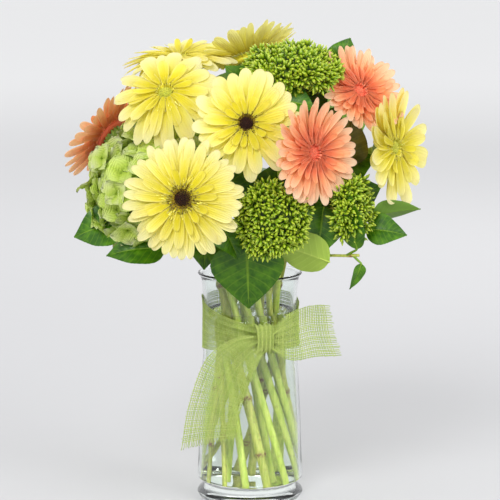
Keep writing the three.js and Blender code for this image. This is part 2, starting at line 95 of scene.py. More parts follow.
class Finish:
    """A material that is put together node by node."""

    def __init__(self, name):
        self.material = bpy.data.materials.new(name)
        self.material.use_nodes = True
        self.tree = self.material.node_tree
        self.tree.nodes.clear()

    def node(self, kind, settings=None, sockets=None, output=0):
        node = self.tree.nodes.new("ShaderNode" + kind)
        for key, value in (settings or {}).items():
            if key == "stops":
                while len(node.color_ramp.elements) < len(value):
                    node.color_ramp.elements.new(1)
                for stop, (place, colour) in zip(node.color_ramp.elements, value):
                    stop.position = place
                    stop.color = colour
            else:
                setattr(node, key, value)
        for key, value in (sockets or {}).items():
            if isinstance(value, Wire):
                self.tree.links.new(value.socket, node.inputs[key])
            else:
                node.inputs[key].default_value = value
        return Wire(self, node.outputs[output]) if node.outputs else None

    def marks(self):
        """The three marks that a shape gives to each of its points."""
        vector = self.node("Attribute", {"attribute_name": "marks"}, output="Vector")
        parts = self.node("SeparateXYZ", sockets={0: vector}).socket.node
        return [Wire(self, output) for output in parts.outputs]

    def place(self):
        return self.node("TexCoord", output="Object")

    def noise(self, scale, detail=2, roughness=0.5, vector=None):
        where = self.place() if vector is None else vector
        sockets = {"Vector": where, "Scale": scale, "Detail": detail, "Roughness": roughness}
        return self.node("TexNoise", sockets=sockets)

    def mix(self, share, first, second):
        return self.node("Mix", {"data_type": "RGBA"}, {0: share, 6: first, 7: second}, 2)

    def ramp(self, value, stops):
        return self.node("ValToRGB", {"stops": stops}, {"Fac": value})

    def brighten(self, colour, value):
        return self.node("HueSaturation", sockets={"Color": colour, "Value": value})

    def bump(self, height, distance, strength=1):
        return self.node("Bump", sockets={"Height": height, "Distance": distance, "Strength": strength})

    def glossy(self, sockets):
        return self.node("BsdfPrincipled", sockets=sockets)

    def done(self, shader):
        self.node("OutputMaterial", sockets={"Surface": shader})
        return self.material


def paint(red, green, blue):
    """A colour as it looks, in parts of 255, as the light that a finish takes."""
    return (*(((part / 255 + 0.055) / 1.055) ** 2.4 for part in (red, green, blue)), 1)


class Shape:
    """The surface of one piece, as grids of points. Each point has three marks for its finish."""

    def __init__(self):
        self.points = []
        self.faces = []
        self.marks = []
        self.count = 0

    def grid(self, points, marks, round_columns=False):
        rows, columns = points.shape[:2]
        number = self.count + np.arange(rows * columns).reshape(rows, columns)
        if round_columns:
            number = np.hstack([number, number[:, :1]])
        corners = [number[:-1, :-1], number[:-1, 1:], number[1:, 1:], number[1:, :-1]]
        self.faces.append(np.stack(corners, -1).reshape(-1, 4))
        self.points.append(points.reshape(-1, 3))
        self.marks.append(np.broadcast_to(marks, points.shape).reshape(-1, 3))
        self.count += rows * columns
        return number

    def piece(self, name, material, stands_for, slot, weld=False):
        """The finished piece, which rides on the vase's body and takes the place of frame nodes."""
        mesh = bpy.data.meshes.new(name)
        mesh.from_pydata(np.concatenate(self.points).tolist(), [], np.concatenate(self.faces).tolist())
        marks = mesh.attributes.new("marks", "FLOAT_VECTOR", "POINT")
        marks.data.foreach_set("vector", np.concatenate(self.marks).astype(np.float32).ravel())
        if weld:
            weld_up(mesh)
        mesh.shade_smooth()
        mesh.materials.append(material)
        made = bpy.data.objects.new(name, mesh)
        bpy.context.scene.collection.objects.link(made)
        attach(made, "root")
        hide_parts(*stands_for)
        return made


def weld_up(mesh):
    """Joins points that meet and turns a closed surface outwards."""
    work = bmesh.new()
    work.from_mesh(mesh)
    bmesh.ops.remove_doubles(work, verts=work.verts, dist=WELD_DISTANCE)
    bmesh.ops.recalc_face_normals(work, faces=work.faces)
    work.to_mesh(mesh)
    work.free()


def turned(profile, turns):
    """A grid of points that turns (radius, height) pairs about the vase's axis."""
    angles = np.linspace(0, 2 * np.pi, turns, endpoint=False)
    radius, height = np.array(profile, float).T
    return np.stack(
        [
            np.outer(radius, np.cos(angles)),
            np.outer(radius, np.sin(angles)),
            np.repeat(height[:, None], turns, 1),
        ],
        -1,
    )


def smooth_line(points, steps):
    """Points along a smooth curve through the given ones, with steps between each pair."""
    points = np.array(points, float)
    padded = np.vstack([2 * points[0] - points[1], points, 2 * points[-1] - points[-2]])
    share = np.arange(steps)[:, None] / steps
    line = []
    for before, here, there, after in zip(padded, padded[1:], padded[2:], padded[3:]):
        bend = 2 * here + (there - before) * share
        bend = bend + (2 * before - 5 * here + 4 * there - after) * share**2
        line.append((bend + (3 * (here - there) + after - before) * share**3) / 2)
    return np.vstack([*line, points[-1:]])


def corners_of(name):
    return np.array([v.co for v in nodes[name].data.vertices], float)


vase_corners = corners_of("vase")
vase_rings = np.unique(
    np.round(np.stack([np.hypot(vase_corners[:, 0], vase_corners[:, 1]), vase_corners[:, 2]], 1), 5), axis=0
)
vase_top = vase_rings[:, 1].max()
mouth_radius = vase_rings[vase_rings[:, 1] == vase_top, 0][0]
levels = np.unique(vase_rings[:, 1])
outer_wall = [(vase_rings[vase_rings[:, 1] == z, 0].max(), z) for z in levels if z < vase_top]
floor_height = vase_rings[(vase_rings[:, 0] < 1e-4) & (vase_rings[:, 1] > 0), 1][0]
wall_heights = np.array([z for r, z in outer_wall])
wall_radii = np.array([r for r, z in outer_wall])
above_floor = vase_rings[vase_rings[:, 1] > floor_height + LEVEL_MARGIN]
outer_skin = np.interp(above_floor[:, 1], wall_heights, wall_radii)
inner = above_floor[above_floor[:, 0] < outer_skin - LEVEL_MARGIN]
inner_wall = [(r, z) for r, z in inner[inner[:, 1].argsort(kind="stable")] if z < vase_top]
wall_thickness = np.interp(inner_wall[3][1], wall_heights, wall_radii) - inner_wall[3][0]
floor_edge = max(r for r, z in vase_rings if abs(z - floor_height) < 1e-4)

foot_radius = outer_wall[0][0]
outside = smooth_line(outer_wall[1:], WALL_STEPS)
inside = smooth_line(inner_wall, WALL_STEPS)
lip_round = wall_thickness / 2
lip = [
    (mouth_radius + math.cos(a) * lip_round, vase_top - lip_round + math.sin(a) * lip_round)
    for a in np.linspace(0, np.pi, LIP_STEPS)
]
foot = [
    (0, FOOT_HOLLOW),
    (foot_radius * 0.8, FOOT_HOLLOW),
    (foot_radius * 0.86, 0),
    (foot_radius, 0),
    (foot_radius + FOOT_ROUND, FOOT_ROUND / 4),
]
wall_foot, wall_start = inside[0]
turn_out, turn_down = wall_foot - floor_edge, floor_height - wall_start
floor_turn = [
    (floor_edge + turn_out * math.sin(a), wall_start + turn_down * math.cos(a))
    for a in np.linspace(math.pi / 2, 0, LIP_STEPS)
]
vase_profile = [*foot, *outside[:-1], *lip, *inside[::-1][1:-1], *floor_turn, (0, floor_height)]

glass = Finish("clear_glass")
ripple = glass.noise(22, 1, 0.4)
clear_glass = glass.done(
    glass.glossy(
        {
            "Base Color": glass.mix(glass.noise(30), paint(250, 254, 252), paint(246, 252, 249)),
            "Roughness": 0.012 * ripple,
            "Normal": glass.bump(ripple, 0.0008, 0.25),
            "IOR": 1.46,
            "Transmission Weight": 1,
        }
    )
)
vase_shape = Shape()
vase_shape.grid(turned(vase_profile, VASE_TURNS), (0, 0, 0), round_columns=True)
vase = vase_shape.piece("glass_vase", clear_glass, ["vase"], "glass", weld=True)
vase.visible_shadow = False

# ---------------------------------------------------------------- the water
# Tap water up to two fingers' width under the rim. It wets the glass, so that its edge climbs a little, and
# the stems stand in it.
WATER_AIR = 0.0001
MENISCUS = 0.0016
MENISCUS_WIDTH = 0.006
WALL_STOPS = 0.002  # under the water's top, where the climbing edge takes over

water_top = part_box("water")[1].z
water_wall = [(r - WATER_AIR, z) for r, z in inside if z < water_top - WALL_STOPS]
edge_radius = np.interp(water_top, wall_heights, wall_radii) - wall_thickness - WATER_AIR
water_floor = [(r - WATER_AIR, z + WATER_AIR) for r, z in floor_turn]
climb = [
    (edge_radius - MENISCUS_WIDTH * (1 - share), water_top + MENISCUS * share**3)
    for share in np.linspace(1, 0, 7)
]
water_profile = [(0, floor_height + WATER_AIR), *water_floor[::-1][:-1], *water_wall, *climb, (0, water_top)]

liquid = Finish("tap_water")
clear_water = liquid.done(
    liquid.glossy(
        {
            "Base Color": liquid.mix(liquid.noise(12), paint(252, 254, 251), paint(247, 252, 246)),
            "Normal": liquid.bump(liquid.noise(60, 1), 0.0004, 0.1),
            "Roughness": 0,
            "IOR": 1.33,
            "Transmission Weight": 1,
        }
    )
)
water_shape = Shape()
water_shape.grid(turned(water_profile, VASE_TURNS), (0, 0, 0), round_columns=True)
water = water_shape.piece("vase_water", clear_water, ["water"], "water", weld=True)
water.visible_shadow = False

# ---------------------------------------------------------------- the stems
# Each flower's own stem, cut slanting at the foot and leaning round the others in a spiral. A gerbera's is
# smooth, soft and pale green. A hydrangea's and a salal's are woody, with joints where leaves grew.
STEM_SIDES = 14
STEP = 0.010
CUT_OVER_FOOT = 0.02  # where a stem's width is measured
CUT_REACH = 0.02
WOODY_REACH, GREEN_REACH = 2.3, 2.1  # how far a cut's edge may lie from a stem's middle, in its radii
FIRST_JOINT = 0.028
JOINT_SHIFT = 0.02
JOINT_SPACING = 0.052
JOINT_LENGTH = 0.0028
JOINT_SWELL = 0.32
TWIG, BACK_LEFT, BACK_RIGHT = "salal_twig_right", "salal_stem_back_left", "salal_stem_back_right"


def edges_of(name):
    mesh = nodes[name].data
    ends = np.array([e.vertices for e in mesh.edges])
    points = corners_of(name)
    return points[ends[:, 0]], points[ends[:, 1]]


def section(edges, point, normal, reach):
    """Where a plane cuts edges, within reach of a point."""
    first, second = edges
    a = (first - point) @ normal
    b = (second - point) @ normal
    crossed = (a > 0) != (b > 0)
    a, b = a[crossed, None], b[crossed, None]
    cut = first[crossed] + (second[crossed] - first[crossed]) * a / (a - b)
    return cut[np.linalg.norm(cut - point, axis=1) < reach]


def centreline(name, reach):
    """Points up the middle of a stem's frame node, from its foot to where it meets its head."""
    edges, points = edges_of(name), corners_of(name)
    lowest = points[points[:, 2].argmin()]
    line = [points[np.linalg.norm(points - lowest, axis=1) < reach].mean(0)]
    way = np.array([0, 0, 1.0])
    step = STEP
    while step > 0.001:
        cut = section(edges, line[-1] + way * step, way, reach)
        if len(cut) < 4:
            step /= 2
            continue
        step = STEP
        line.append((cut.min(0) + cut.max(0)) / 2)
        way = line[-1] - line[max(-3, -len(line))]
        way /= np.linalg.norm(way)
    return np.array(line)


def frames_along(line):
    """Two directions across a line at each of its points, which turn as little as they can."""
    way = np.gradient(line, axis=0)
    way /= np.linalg.norm(way, axis=1)[:, None]
    side = np.cross(way[0], (0.3, 1, 0.1))
    sides = []
    for here in way:
        side = side - here * (side @ here)
        side /= np.linalg.norm(side)
        sides.append(side)
    sides = np.array(sides)
    return sides, np.cross(way, sides)


def rod(shape, line, radii, sides, marks, ridges=0):
    """A round rod along a line, closed at both ends."""
    across, over = frames_along(line)
    around = np.linspace(0, 2 * np.pi, sides, endpoint=False)
    swell = 1 + ridges * np.sin(around * 5)
    radii = np.broadcast_to(radii, len(line))[:, None] * swell
    ring = across[:, None] * np.cos(around)[:, None] + over[:, None] * np.sin(around)[:, None]
    points = line[:, None] + ring * radii[..., None]
    points = np.concatenate([line[:1, None].repeat(sides, 1), points, line[-1:, None].repeat(sides, 1)])
    if np.ndim(marks) == 2:
        marks = np.concatenate([marks[:1], marks, marks[-1:]])[:, None]
    shape.grid(points, marks, round_columns=True)


def stem_skin(name, shade, pale, spots, bumpy):
    """A stem's finish. Marks are how far up it is, how near to a joint, and its own tint."""
    skin = Finish(name)
    joint, tint = skin.marks()[1:]
    length = skin.node("Mapping", sockets={"Vector": skin.place(), "Scale": (1, 1, 0.12)})
    streaks = skin.noise(420, 3, 0.6, length)
    colour = skin.mix(streaks.between(0.3, 0.7), shade, pale)
    colour = skin.mix(joint.between(0.2, 0.9) * skin.noise(500).between(0.3, 0.6), colour, spots)
    colour = skin.mix(skin.noise(190, 3).between(0.6, 0.72) * 0.35, colour, spots)
    colour = skin.brighten(colour, 0.85 + 0.3 * tint)
    return skin.done(
        skin.glossy(
            {
                "Base Color": colour,
                "Roughness": 0.4 + 0.2 * streaks,
                "Normal": skin.bump(streaks, bumpy),
                "Subsurface Weight": 0.12,
                "Subsurface Radius": (0.002, 0.003, 0.001),
            }
        )
    )


gerbera_skin = stem_skin(
    "gerbera_stem_skin", paint(166, 190, 56), paint(204, 216, 104), paint(140, 126, 50), 0.0002
)
woody_skin = stem_skin(
    "woody_stem_skin", paint(158, 172, 54), paint(202, 204, 100), paint(128, 88, 36), 0.0006
)
chance = np.random.default_rng(11)
stem_lines = {}


def stalk(shape, line, radius, woody):
    """A stem's rod, with swollen joints if it is woody."""
    line = smooth_line(line, 4)
    gone = np.concatenate([[0], np.cumsum(np.linalg.norm(np.diff(line, axis=0), axis=1))])
    joint = np.zeros(len(line))
    if woody:
        for place in np.arange(FIRST_JOINT + chance.uniform(0, JOINT_SHIFT), gone[-1], JOINT_SPACING):
            joint = np.maximum(joint, np.exp(-(((gone - place) / JOINT_LENGTH) ** 2)))
    radii = radius * (1 + JOINT_SWELL * joint + 0.02 * np.sin(gone * 190))
    marks = np.stack([gone / gone[-1], joint, np.full(len(line), chance.random())], 1)
    rod(shape, line, radii, STEM_SIDES, marks, ridges=0.05 if woody else 0.015)


def stem_radius(name):
    """Half the width of a stem's frame node, in the straight stretch above its foot."""
    edges, points = edges_of(name), corners_of(name)
    low = points[points[:, 2].argmin()] + (0, 0, CUT_OVER_FOOT)
    cut = section(edges, low, np.array([0, 0, 1.0]), CUT_REACH)
    return np.linalg.norm(cut - cut.mean(0), axis=1).mean()


hydrangea_stems = [name for name in nodes if name.endswith("_stem") and "gerbera" not in name]
for name in sorted([TWIG, BACK_LEFT, BACK_RIGHT, *hydrangea_stems]):
    radius = stem_radius(name)
    stem_lines[name] = centreline(name, radius * WOODY_REACH)
    shape = Shape()
    stalk(shape, stem_lines[name], radius, woody=True)
    shape.piece(f"{name}_wood", woody_skin, [name], "woody_stem", weld=True)

# ---------------------------------------------------------------- the gerbera heads
# A head is a daisy: rows of long ray petals round a ring of small strap florets and a disc of tube florets,
# all held in a green cup of narrow bracts on top of the stem.
FACE_ABOVE_CUP = 0.0054
FACE_ABOVE_EYE = 0.0046  # from the flat underside of the eye
PETAL_ROWS, PETAL_COLUMNS = 15, 7
PETAL_ROOT, BUTTON, DISC = 0.16, 0.13, 0.31  # as shares of the flower's radius
DISC_TOP = 0.0035
PLATE_DEPTH = 0.004  # of the solid part under the florets
TUBES = 110
TUBE_RADIUS = 0.00075
STRAP_RINGS = 7
STRAP_SPACING = 0.0016
STAMEN_RINGS = 4
STAMEN_LENGTH, STAMEN_RADIUS = 0.0045, 0.0004
GOLDEN_ANGLE = 2.39996
CUP_DEPTH = 0.013
CUP_OUTLINE = [(0.003, 0), (0.0062, 0.003), (0.0085, 0.0075), (0.0098, CUP_DEPTH)]
BRACT_ROWS = [(0.0, 0.009, 12), (0.003, 0.011, 15), (0.0055, 0.012, 18)]  # start, length and how many
BRACT_LEVELS = [0, 0.003, 0.0075, CUP_DEPTH, 0.02]
BRACT_RADII = [0.0034, 0.0066, 0.0089, 0.0104, 0.0125]
BRACT_HALF = 0.0016
STEM_STOPS = 0.004  # under the cup


def flat_end(name):
    """The middle of a node's largest flat face, and the way it faces."""
    faces = nodes[name].data.polygons
    normals = np.array([f.normal for f in faces])
    centres = np.array([f.center for f in faces])
    areas = np.array([f.area for f in faces])
    level = (normals[:, None] * (centres[None] - centres[:, None])).sum(-1)
    flat = (normals @ normals.T > 0.9998) & (abs(level) < 5e-5)
    best = flat[(flat * areas).sum(1).argmax()]
    weights = areas[best][:, None]
    return (centres[best] * weights).sum(0) / weights.sum(), normals[best].mean(0)


class Facing:
    """The middle of a head, the way out that it faces, and the directions right and up across that."""

    def face(self, middle, out):
        self.middle = middle
        self.out = out / np.linalg.norm(out)
        self.right = np.cross((0, 0, 1), self.out)
        self.right /= np.linalg.norm(self.right)
        self.up = np.cross(self.out, self.right)

    def placed(self, grid):
        """A grid that was made about +Z, moved to the middle and turned to face the way out."""
        return self.middle + grid[..., :1] * self.right + grid[..., 1:2] * self.up + grid[..., 2:] * self.out


class Head(Facing):
    """A gerbera's place, its radius and how far its rim stands in front."""

    def __init__(self, name):
        middle, under = flat_end(f"{name}_eye")
        self.face(middle, -under)
        self.middle = middle + self.out * FACE_ABOVE_EYE
        rays = corners_of(f"{name}_petals") - self.middle
        forward = rays @ self.out
        spread = np.linalg.norm(rays - forward[:, None] * self.out, axis=1)
        self.radius = spread.max()
        self.rise = forward[spread > self.radius * 0.95].mean() + 0.0008

    def at(self, radius, angle, height):
        """The points this far from the middle, round from the right, and in front of the face."""
        flat = np.cos(angle)[..., None] * self.right + np.sin(angle)[..., None] * self.up
        return self.middle + radius[..., None] * flat + height[..., None] * self.out


def ray(shape, head, angle, root, tip, half_width, style):
    """One ray petal: a long channelled strap with a rounded tip."""
    t = 1 - (1 - np.linspace(0, 1, PETAL_ROWS)[:, None]) ** 1.5
    s = np.linspace(-1, 1, PETAL_COLUMNS)[None]
    swell = np.sin(np.clip(t / style["widest"], 0, 1) * np.pi / 2)
    taper = np.clip((t - style["rounds"]) / (1 - style["rounds"]), 0, 1)
    half = half_width * (0.45 + 0.55 * swell) * np.sqrt(1 - 0.985 * taper**2.3)
    radius = root + (tip - root) * t
    turn = angle + style["sway"] * t**2 + np.arctan2(half * s, radius + 0.004)
    share = radius / head.radius
    height = head.rise * share**2 + style["lift"] * (1 - 0.45 * t) + style["curl"] * t**3
    height = height + style["arch"] * np.sin(np.pi * np.clip(share, 0, 1))
    way = math.cos(angle) * head.right + math.sin(angle) * head.up
    for towards, amount in style["bends"]:
        towards = np.array(towards) / np.linalg.norm(towards)
        height = height + amount * max(0, way @ towards) ** 1.5 * share**2.4
    groove = style["fold"] * half * (s**2 - 0.3) * (1 - 0.5 * t)
    ribs = -0.00025 * np.cos(s * 3 * np.pi) * np.sin(t * np.pi) ** 0.5
    height = height + groove + ribs + style["twist"] * half * s * t
    points = head.at(radius + 0 * s, turn, height + 0 * s)
    marks = np.stack(np.broadcast_arrays(s, share, style["tint"]), -1)
    shape.grid(points, marks)


def strap(shape, head, angle, radius, length, width, start, rise, tint, kind):
    """A small strap or tube floret that stands out of the face and bends outwards."""
    t = np.linspace(0, 1, 4)[:, None]
    s = np.linspace(-1, 1, 3)[None]
    out = radius + length * t**1.4
    turn = angle + s * width * (1 - 0.75 * t**2) / out
    height = start + rise * np.sin(t * 1.9) + width * 0.6 * s**2
    marks = np.stack(np.broadcast_arrays(t, kind, tint), -1)
    shape.grid(head.at(out + 0 * s, turn, height + 0 * s), marks)


def bud(shape, base, way, length, radius, sides, marks, profile=((0, 0.6), (0.4, 1), (0.8, 0.7), (1, 0))):
    """A small closed bud from its base along its way."""
    way = way / np.linalg.norm(way)
    side = np.cross(way, (0.31, 0.87, 0.4))
    side /= np.linalg.norm(side)
    over = np.cross(way, side)
    around = np.linspace(0, 2 * np.pi, sides, endpoint=False)
    ring = np.cos(around)[:, None] * side + np.sin(around)[:, None] * over
    points = [base + way * length * along + ring * radius * wide for along, wide in ((0, 0), *profile)]
    tones = np.array([[along, marks[1], marks[2]] for along, wide in ((0, 0), *profile)])
    shape.grid(np.array(points), tones[:, None], round_columns=True)


def petal_skin(name, root, body, tip, fold, blush, glow):
    """A petal's finish. Marks are across it, out from the flower's middle, and its own tint."""
    skin = Finish(name)
    across, out, tint = skin.marks()
    veins = skin.node("Math", {"operation": "SINE"}, {0: across * 16 + 3 * skin.noise(60)})
    colour = skin.ramp(out, [(0.1, root), (0.36, root), (0.58, body), (0.95, tip)])
    # Deeper, darker colour down the middle of each petal's inner half is painted shade in its groove.
    crease_shade = (1 - abs(across).between(0.05, 0.5)) * (1 - out.between(0.45, 0.95))
    colour = skin.mix(crease_shade * 0.45, colour, fold)
    colour = skin.mix(abs(across).between(0.72, 1) * 0.35, colour, tip)
    colour = skin.mix(skin.noise(38, 2).between(0.5, 0.75) * 0.3, colour, blush)
    colour = skin.brighten(colour, 0.94 + 0.12 * tint + 0.01 * veins)
    soft = skin.glossy(
        {
            "Base Color": colour,
            "Roughness": 0.5 + 0.08 * veins,
            "Normal": skin.bump(veins, 0.00012),
            "Specular IOR Level": 0.3,
            "Sheen Weight": 0.15,
        }
    )
    through = skin.node("BsdfTranslucent", sockets={"Color": glow})
    return skin.done(skin.node("MixShader", sockets={0: 0.36, 1: soft, 2: through}))


def floret_skin(name, shades):
    """The disc's finish. Marks are up a floret, which kind it is (0 dark or middle, 1 outer), and tint."""
    skin = Finish(name)
    up, kind, tint = skin.marks()
    colour = skin.ramp(kind, [(k / (len(shades) - 1), shade) for k, (shade, tip) in enumerate(shades)])
    tips = skin.ramp(kind, [(k / (len(shades) - 1), tip) for k, (shade, tip) in enumerate(shades)])
    colour = skin.brighten(skin.mix(up.between(0.35, 0.9), colour, tips), 0.8 + 0.4 * tint)
    rough = 0.55 + 0.2 * tint
    return skin.done(skin.glossy({"Base Color": colour, "Roughness": rough, "Subsurface Weight": 0.1}))


YELLOW_SKIN = petal_skin(
    "yellow_petal",
    root=paint(230, 216, 26),
    body=paint(238, 228, 98),
    tip=paint(246, 239, 184),
    fold=paint(226, 210, 26),
    blush=paint(236, 224, 78),
    glow=paint(244, 232, 84),
)
CORAL_SKIN = petal_skin(
    "coral_petal",
    root=paint(242, 118, 74),
    body=paint(254, 178, 122),
    tip=paint(255, 220, 184),
    fold=paint(238, 120, 72),
    blush=paint(250, 162, 108),
    glow=paint(255, 176, 112),
)
DARK_DISC = floret_skin(
    "dark_disc",
    [
        (paint(32, 14, 8), paint(56, 28, 18)),
        (paint(170, 140, 14), paint(66, 38, 16)),
        (paint(226, 208, 22), paint(248, 236, 110)),
    ],
)
GREEN_DISC = floret_skin(
    "green_disc",
    [
        (paint(176, 182, 50), paint(208, 206, 76)),
        (paint(224, 206, 50), paint(242, 228, 112)),
        (paint(234, 220, 50), paint(250, 242, 150)),
    ],
)
CORAL_DISC = floret_skin(
    "coral_disc",
    [
        (paint(222, 92, 64), paint(242, 130, 98)),
        (paint(232, 104, 72), paint(250, 160, 120)),
        (paint(242, 130, 88), paint(254, 190, 150)),
    ],
)
cup_skin = stem_skin("green_cup", paint(96, 128, 36), paint(150, 176, 70), paint(110, 96, 44), 0.0002)

# Rows of petals: how many, how far their tips reach at least and at most and half a petal's width as shares
# of the flower's radius, and how far the row's roots lie in front of the face.
MANY = [
    (19, 0.95, 1.03, 0.104, -0.0012),
    (19, 0.9, 1.0, 0.1, 0.0006),
    (16, 0.7, 0.9, 0.092, 0.0024),
    (14, 0.46, 0.62, 0.068, 0.0036),
]
BROAD = [
    (12, 0.95, 1.04, 0.152, -0.0012),
    (12, 0.88, 1.0, 0.146, 0.0008),
    (11, 0.64, 0.86, 0.128, 0.0032),
    (13, 0.42, 0.6, 0.082, 0.0046),
]
FINE = [
    (18, 0.96, 1.03, 0.1, -0.0012),
    (18, 0.9, 1.0, 0.097, 0.0008),
    (17, 0.72, 0.9, 0.086, 0.003),
    (16, 0.54, 0.72, 0.07, 0.005),
    (19, 0.38, 0.52, 0.045, 0.0062),
]
# Each head: its skins, petals and seed, how far its petals arch, and where they bend forwards or, less than
# nothing, droop.
DROOPS_FORWARD = [((0, -1, -1), -0.016), ((0, 1, 1), 0.004)]
DROOPS_ASIDE = [((-1, -0.3, 0), -0.012), ((1, -0.3, 0), -0.008)]
GERBERAS = {
    "yellow_gerbera_1": (YELLOW_SKIN, DARK_DISC, MANY, 1, 0, [((0, 0, -1), -0.003)]),
    "yellow_gerbera_2": (YELLOW_SKIN, DARK_DISC, BROAD, 2, 0, [((0, 0, -1), -0.017), ((0, 0, 1), 0.007)]),
    "yellow_gerbera_3": (YELLOW_SKIN, GREEN_DISC, BROAD, 3, 0.002, DROOPS_FORWARD),
    "yellow_gerbera_4": (YELLOW_SKIN, GREEN_DISC, MANY, 4, 0.004, DROOPS_ASIDE),
    "yellow_gerbera_5": (YELLOW_SKIN, GREEN_DISC, MANY, 5, 0.002, [((-1, -0.2, -0.4), -0.01)]),
    "yellow_gerbera_6": (YELLOW_SKIN, GREEN_DISC, BROAD, 6, 0, [((0, 0, -1), -0.006)]),
    "coral_gerbera_1": (CORAL_SKIN, CORAL_DISC, FINE, 7, 0, [((0, 0, -1), -0.006)]),
    "coral_gerbera_2": (CORAL_SKIN, CORAL_DISC, FINE, 8, 0, []),
    "coral_gerbera_3": (CORAL_SKIN, CORAL_DISC, FINE, 9, 0, []),
}


def rays_of(head, rows, seed, arch, bends):
    """All the ray petals of a head."""
    draw = np.random.default_rng(seed)
    shape = Shape()
    for row, (count, near, far, width, lift) in enumerate(rows):
        first = draw.uniform(0, 2 * np.pi)
        for k in range(count):
            angle = first + (k + draw.uniform(-0.14, 0.14)) * 2 * np.pi / count
            style = {
                "bends": bends,
                "arch": arch,
                "lift": lift + (k % 2) * 0.0007 + draw.uniform(-0.0004, 0.0004),
                "curl": draw.uniform(-0.004, 0.003) * (0.6 + 0.5 * row),
                "widest": draw.uniform(0.6, 0.75),
                "rounds": draw.uniform(0.62, 0.8),
                "sway": draw.uniform(-0.05, 0.05),
                "fold": draw.uniform(0.1, 0.36),
                "twist": draw.uniform(0.04, 0.28),
                "tint": draw.random(),
            }
            tip = head.radius * draw.uniform(near, far)
            half_width = head.radius * width * draw.uniform(0.9, 1.08)
            ray(shape, head, angle, head.radius * PETAL_ROOT, tip, half_width, style)
    return shape


def disc_of(head, seed, coral):
    """The disc: a spiral of tube florets in the middle, and rings of strap florets round it."""
    draw = np.random.default_rng(seed + 50)
    shape = Shape()
    button, edge = head.radius * BUTTON, head.radius * DISC
    stamen_kind, plate_kind = (0.3, 0.5) if coral else (0.05, 0.62)
    for k in range(TUBES):
        share = math.sqrt((k + 0.5) / TUBES)
        radius = np.array(button * share)
        angle = np.array(k * GOLDEN_ANGLE)
        base = head.at(radius, angle, np.array(DISC_TOP - 0.0025 - 0.0018 * share**2))
        lean = head.at(radius * 1.25, angle, np.array(DISC_TOP + 0.01)) - base
        bud(shape, base, lean, draw.uniform(0.0026, 0.0038), TUBE_RADIUS, 5, (0, 0, draw.random()))
    for ring in range(STRAP_RINGS):
        share = ring / (STRAP_RINGS - 1)
        radius = button * 0.96 + (edge - button) * share
        count = int(radius * 2 * np.pi / STRAP_SPACING)
        for k in range(count):
            angle = (k + draw.uniform(-0.3, 0.3) + 0.5 * (ring % 2)) * 2 * np.pi / count
            kind = np.clip(0.45 + share * 0.9 + draw.uniform(-0.2, 0.2), 0.3, 1)
            rise = (0.0034 - 0.0012 * share) * draw.uniform(0.7, 1.3)
            length = head.radius * (0.05 + 0.07 * share)
            start = DISC_TOP - 0.0022 - 0.0024 * share
            width = 0.0007 + 0.0004 * share
            strap(shape, head, angle, radius, length, width, start, rise, draw.random(), kind)
        if ring < STAMEN_RINGS:
            for k in range(count // 2):
                angle = np.array(draw.uniform(0, 2 * np.pi))
                base = head.at(np.array(radius + 0.0006), angle, np.array(DISC_TOP - 0.002))
                marks = (0, stamen_kind, draw.random())
                bud(shape, base, head.out, STAMEN_LENGTH, STAMEN_RADIUS, 4, marks)
    plate = [
        (0, -PLATE_DEPTH),
        (edge * 0.9, -PLATE_DEPTH),
        (edge, -0.001),
        (button, DISC_TOP - 0.0022),
        (0, DISC_TOP - 0.002),
    ]
    shape.grid(head.placed(turned(plate, 24)), (0.2, plate_kind, 0.5), round_columns=True)
    return shape


def cup_of(shape, head, draw):
    """The green cup under the petals, with three rows of pointed bracts lying over each other."""
    low = -FACE_ABOVE_CUP - CUP_DEPTH
    outline = smooth_line([(radius, low + height) for radius, height in CUP_OUTLINE], 3)
    shape.grid(head.placed(turned(outline, 24)), (0.5, 0.0, 0.4), round_columns=True)
    for row, (start, length, count) in enumerate(BRACT_ROWS):
        for k in range(count):
            angle = (k + 0.5 * row + draw.uniform(-0.15, 0.15)) * 2 * np.pi / count
            t = np.linspace(0, 1, 6)[:, None]
            s = np.linspace(-1, 1, 3)[None]
            level = start + length * t
            around = np.interp(level, BRACT_LEVELS, BRACT_RADII)
            half = BRACT_HALF * (1 - t**2) ** 0.6 + 0.0001
            turn = angle + s * half / around
            radius = around + 0.0003 * (3 - row) - 0.0003 * s**2 + 0.0012 * t**3
            marks = np.stack(np.broadcast_arrays(t, 0.6 * t**3, draw.random()), -1)
            shape.grid(head.at(radius + 0 * s, turn, low + level + 0 * s), marks)


for name, (skin, disc_skin, rows, seed, arch, bends) in GERBERAS.items():
    head = Head(name)
    stem = f"{name}_stem"
    radius = stem_radius(stem)
    end = head.middle - head.out * (FACE_ABOVE_CUP + CUP_DEPTH * 0.95)
    under_cup = FACE_ABOVE_CUP + CUP_DEPTH + STEM_STOPS
    below = [p for p in centreline(stem, radius * GREEN_REACH) if (head.middle - p) @ head.out > under_cup]
    line = np.array([*below, end])
    stem_lines[stem] = line
    shape = Shape()
    stalk(shape, line, radius, woody=False)
    shape.piece(f"{stem}_green", gerbera_skin, [stem], "gerbera_stem", weld=True)
    shape = Shape()
    cup_of(shape, head, np.random.default_rng(seed + 90))
    shape.piece(f"{name}_cup", cup_skin, [stem], "gerbera_stem")
    rays = rays_of(head, rows, seed, arch, bends)
    rays.piece(f"{name}_rays", skin, [f"{name}_petals"], f"{name.split('_')[0]}_petal")
    slot = "coral_eye" if "coral" in name else "dark_eye" if disc_skin is DARK_DISC else "green_eye"
    disc_of(head, seed, "coral" in name).piece(f"{name}_disc", disc_skin, [f"{name}_eye"], slot)

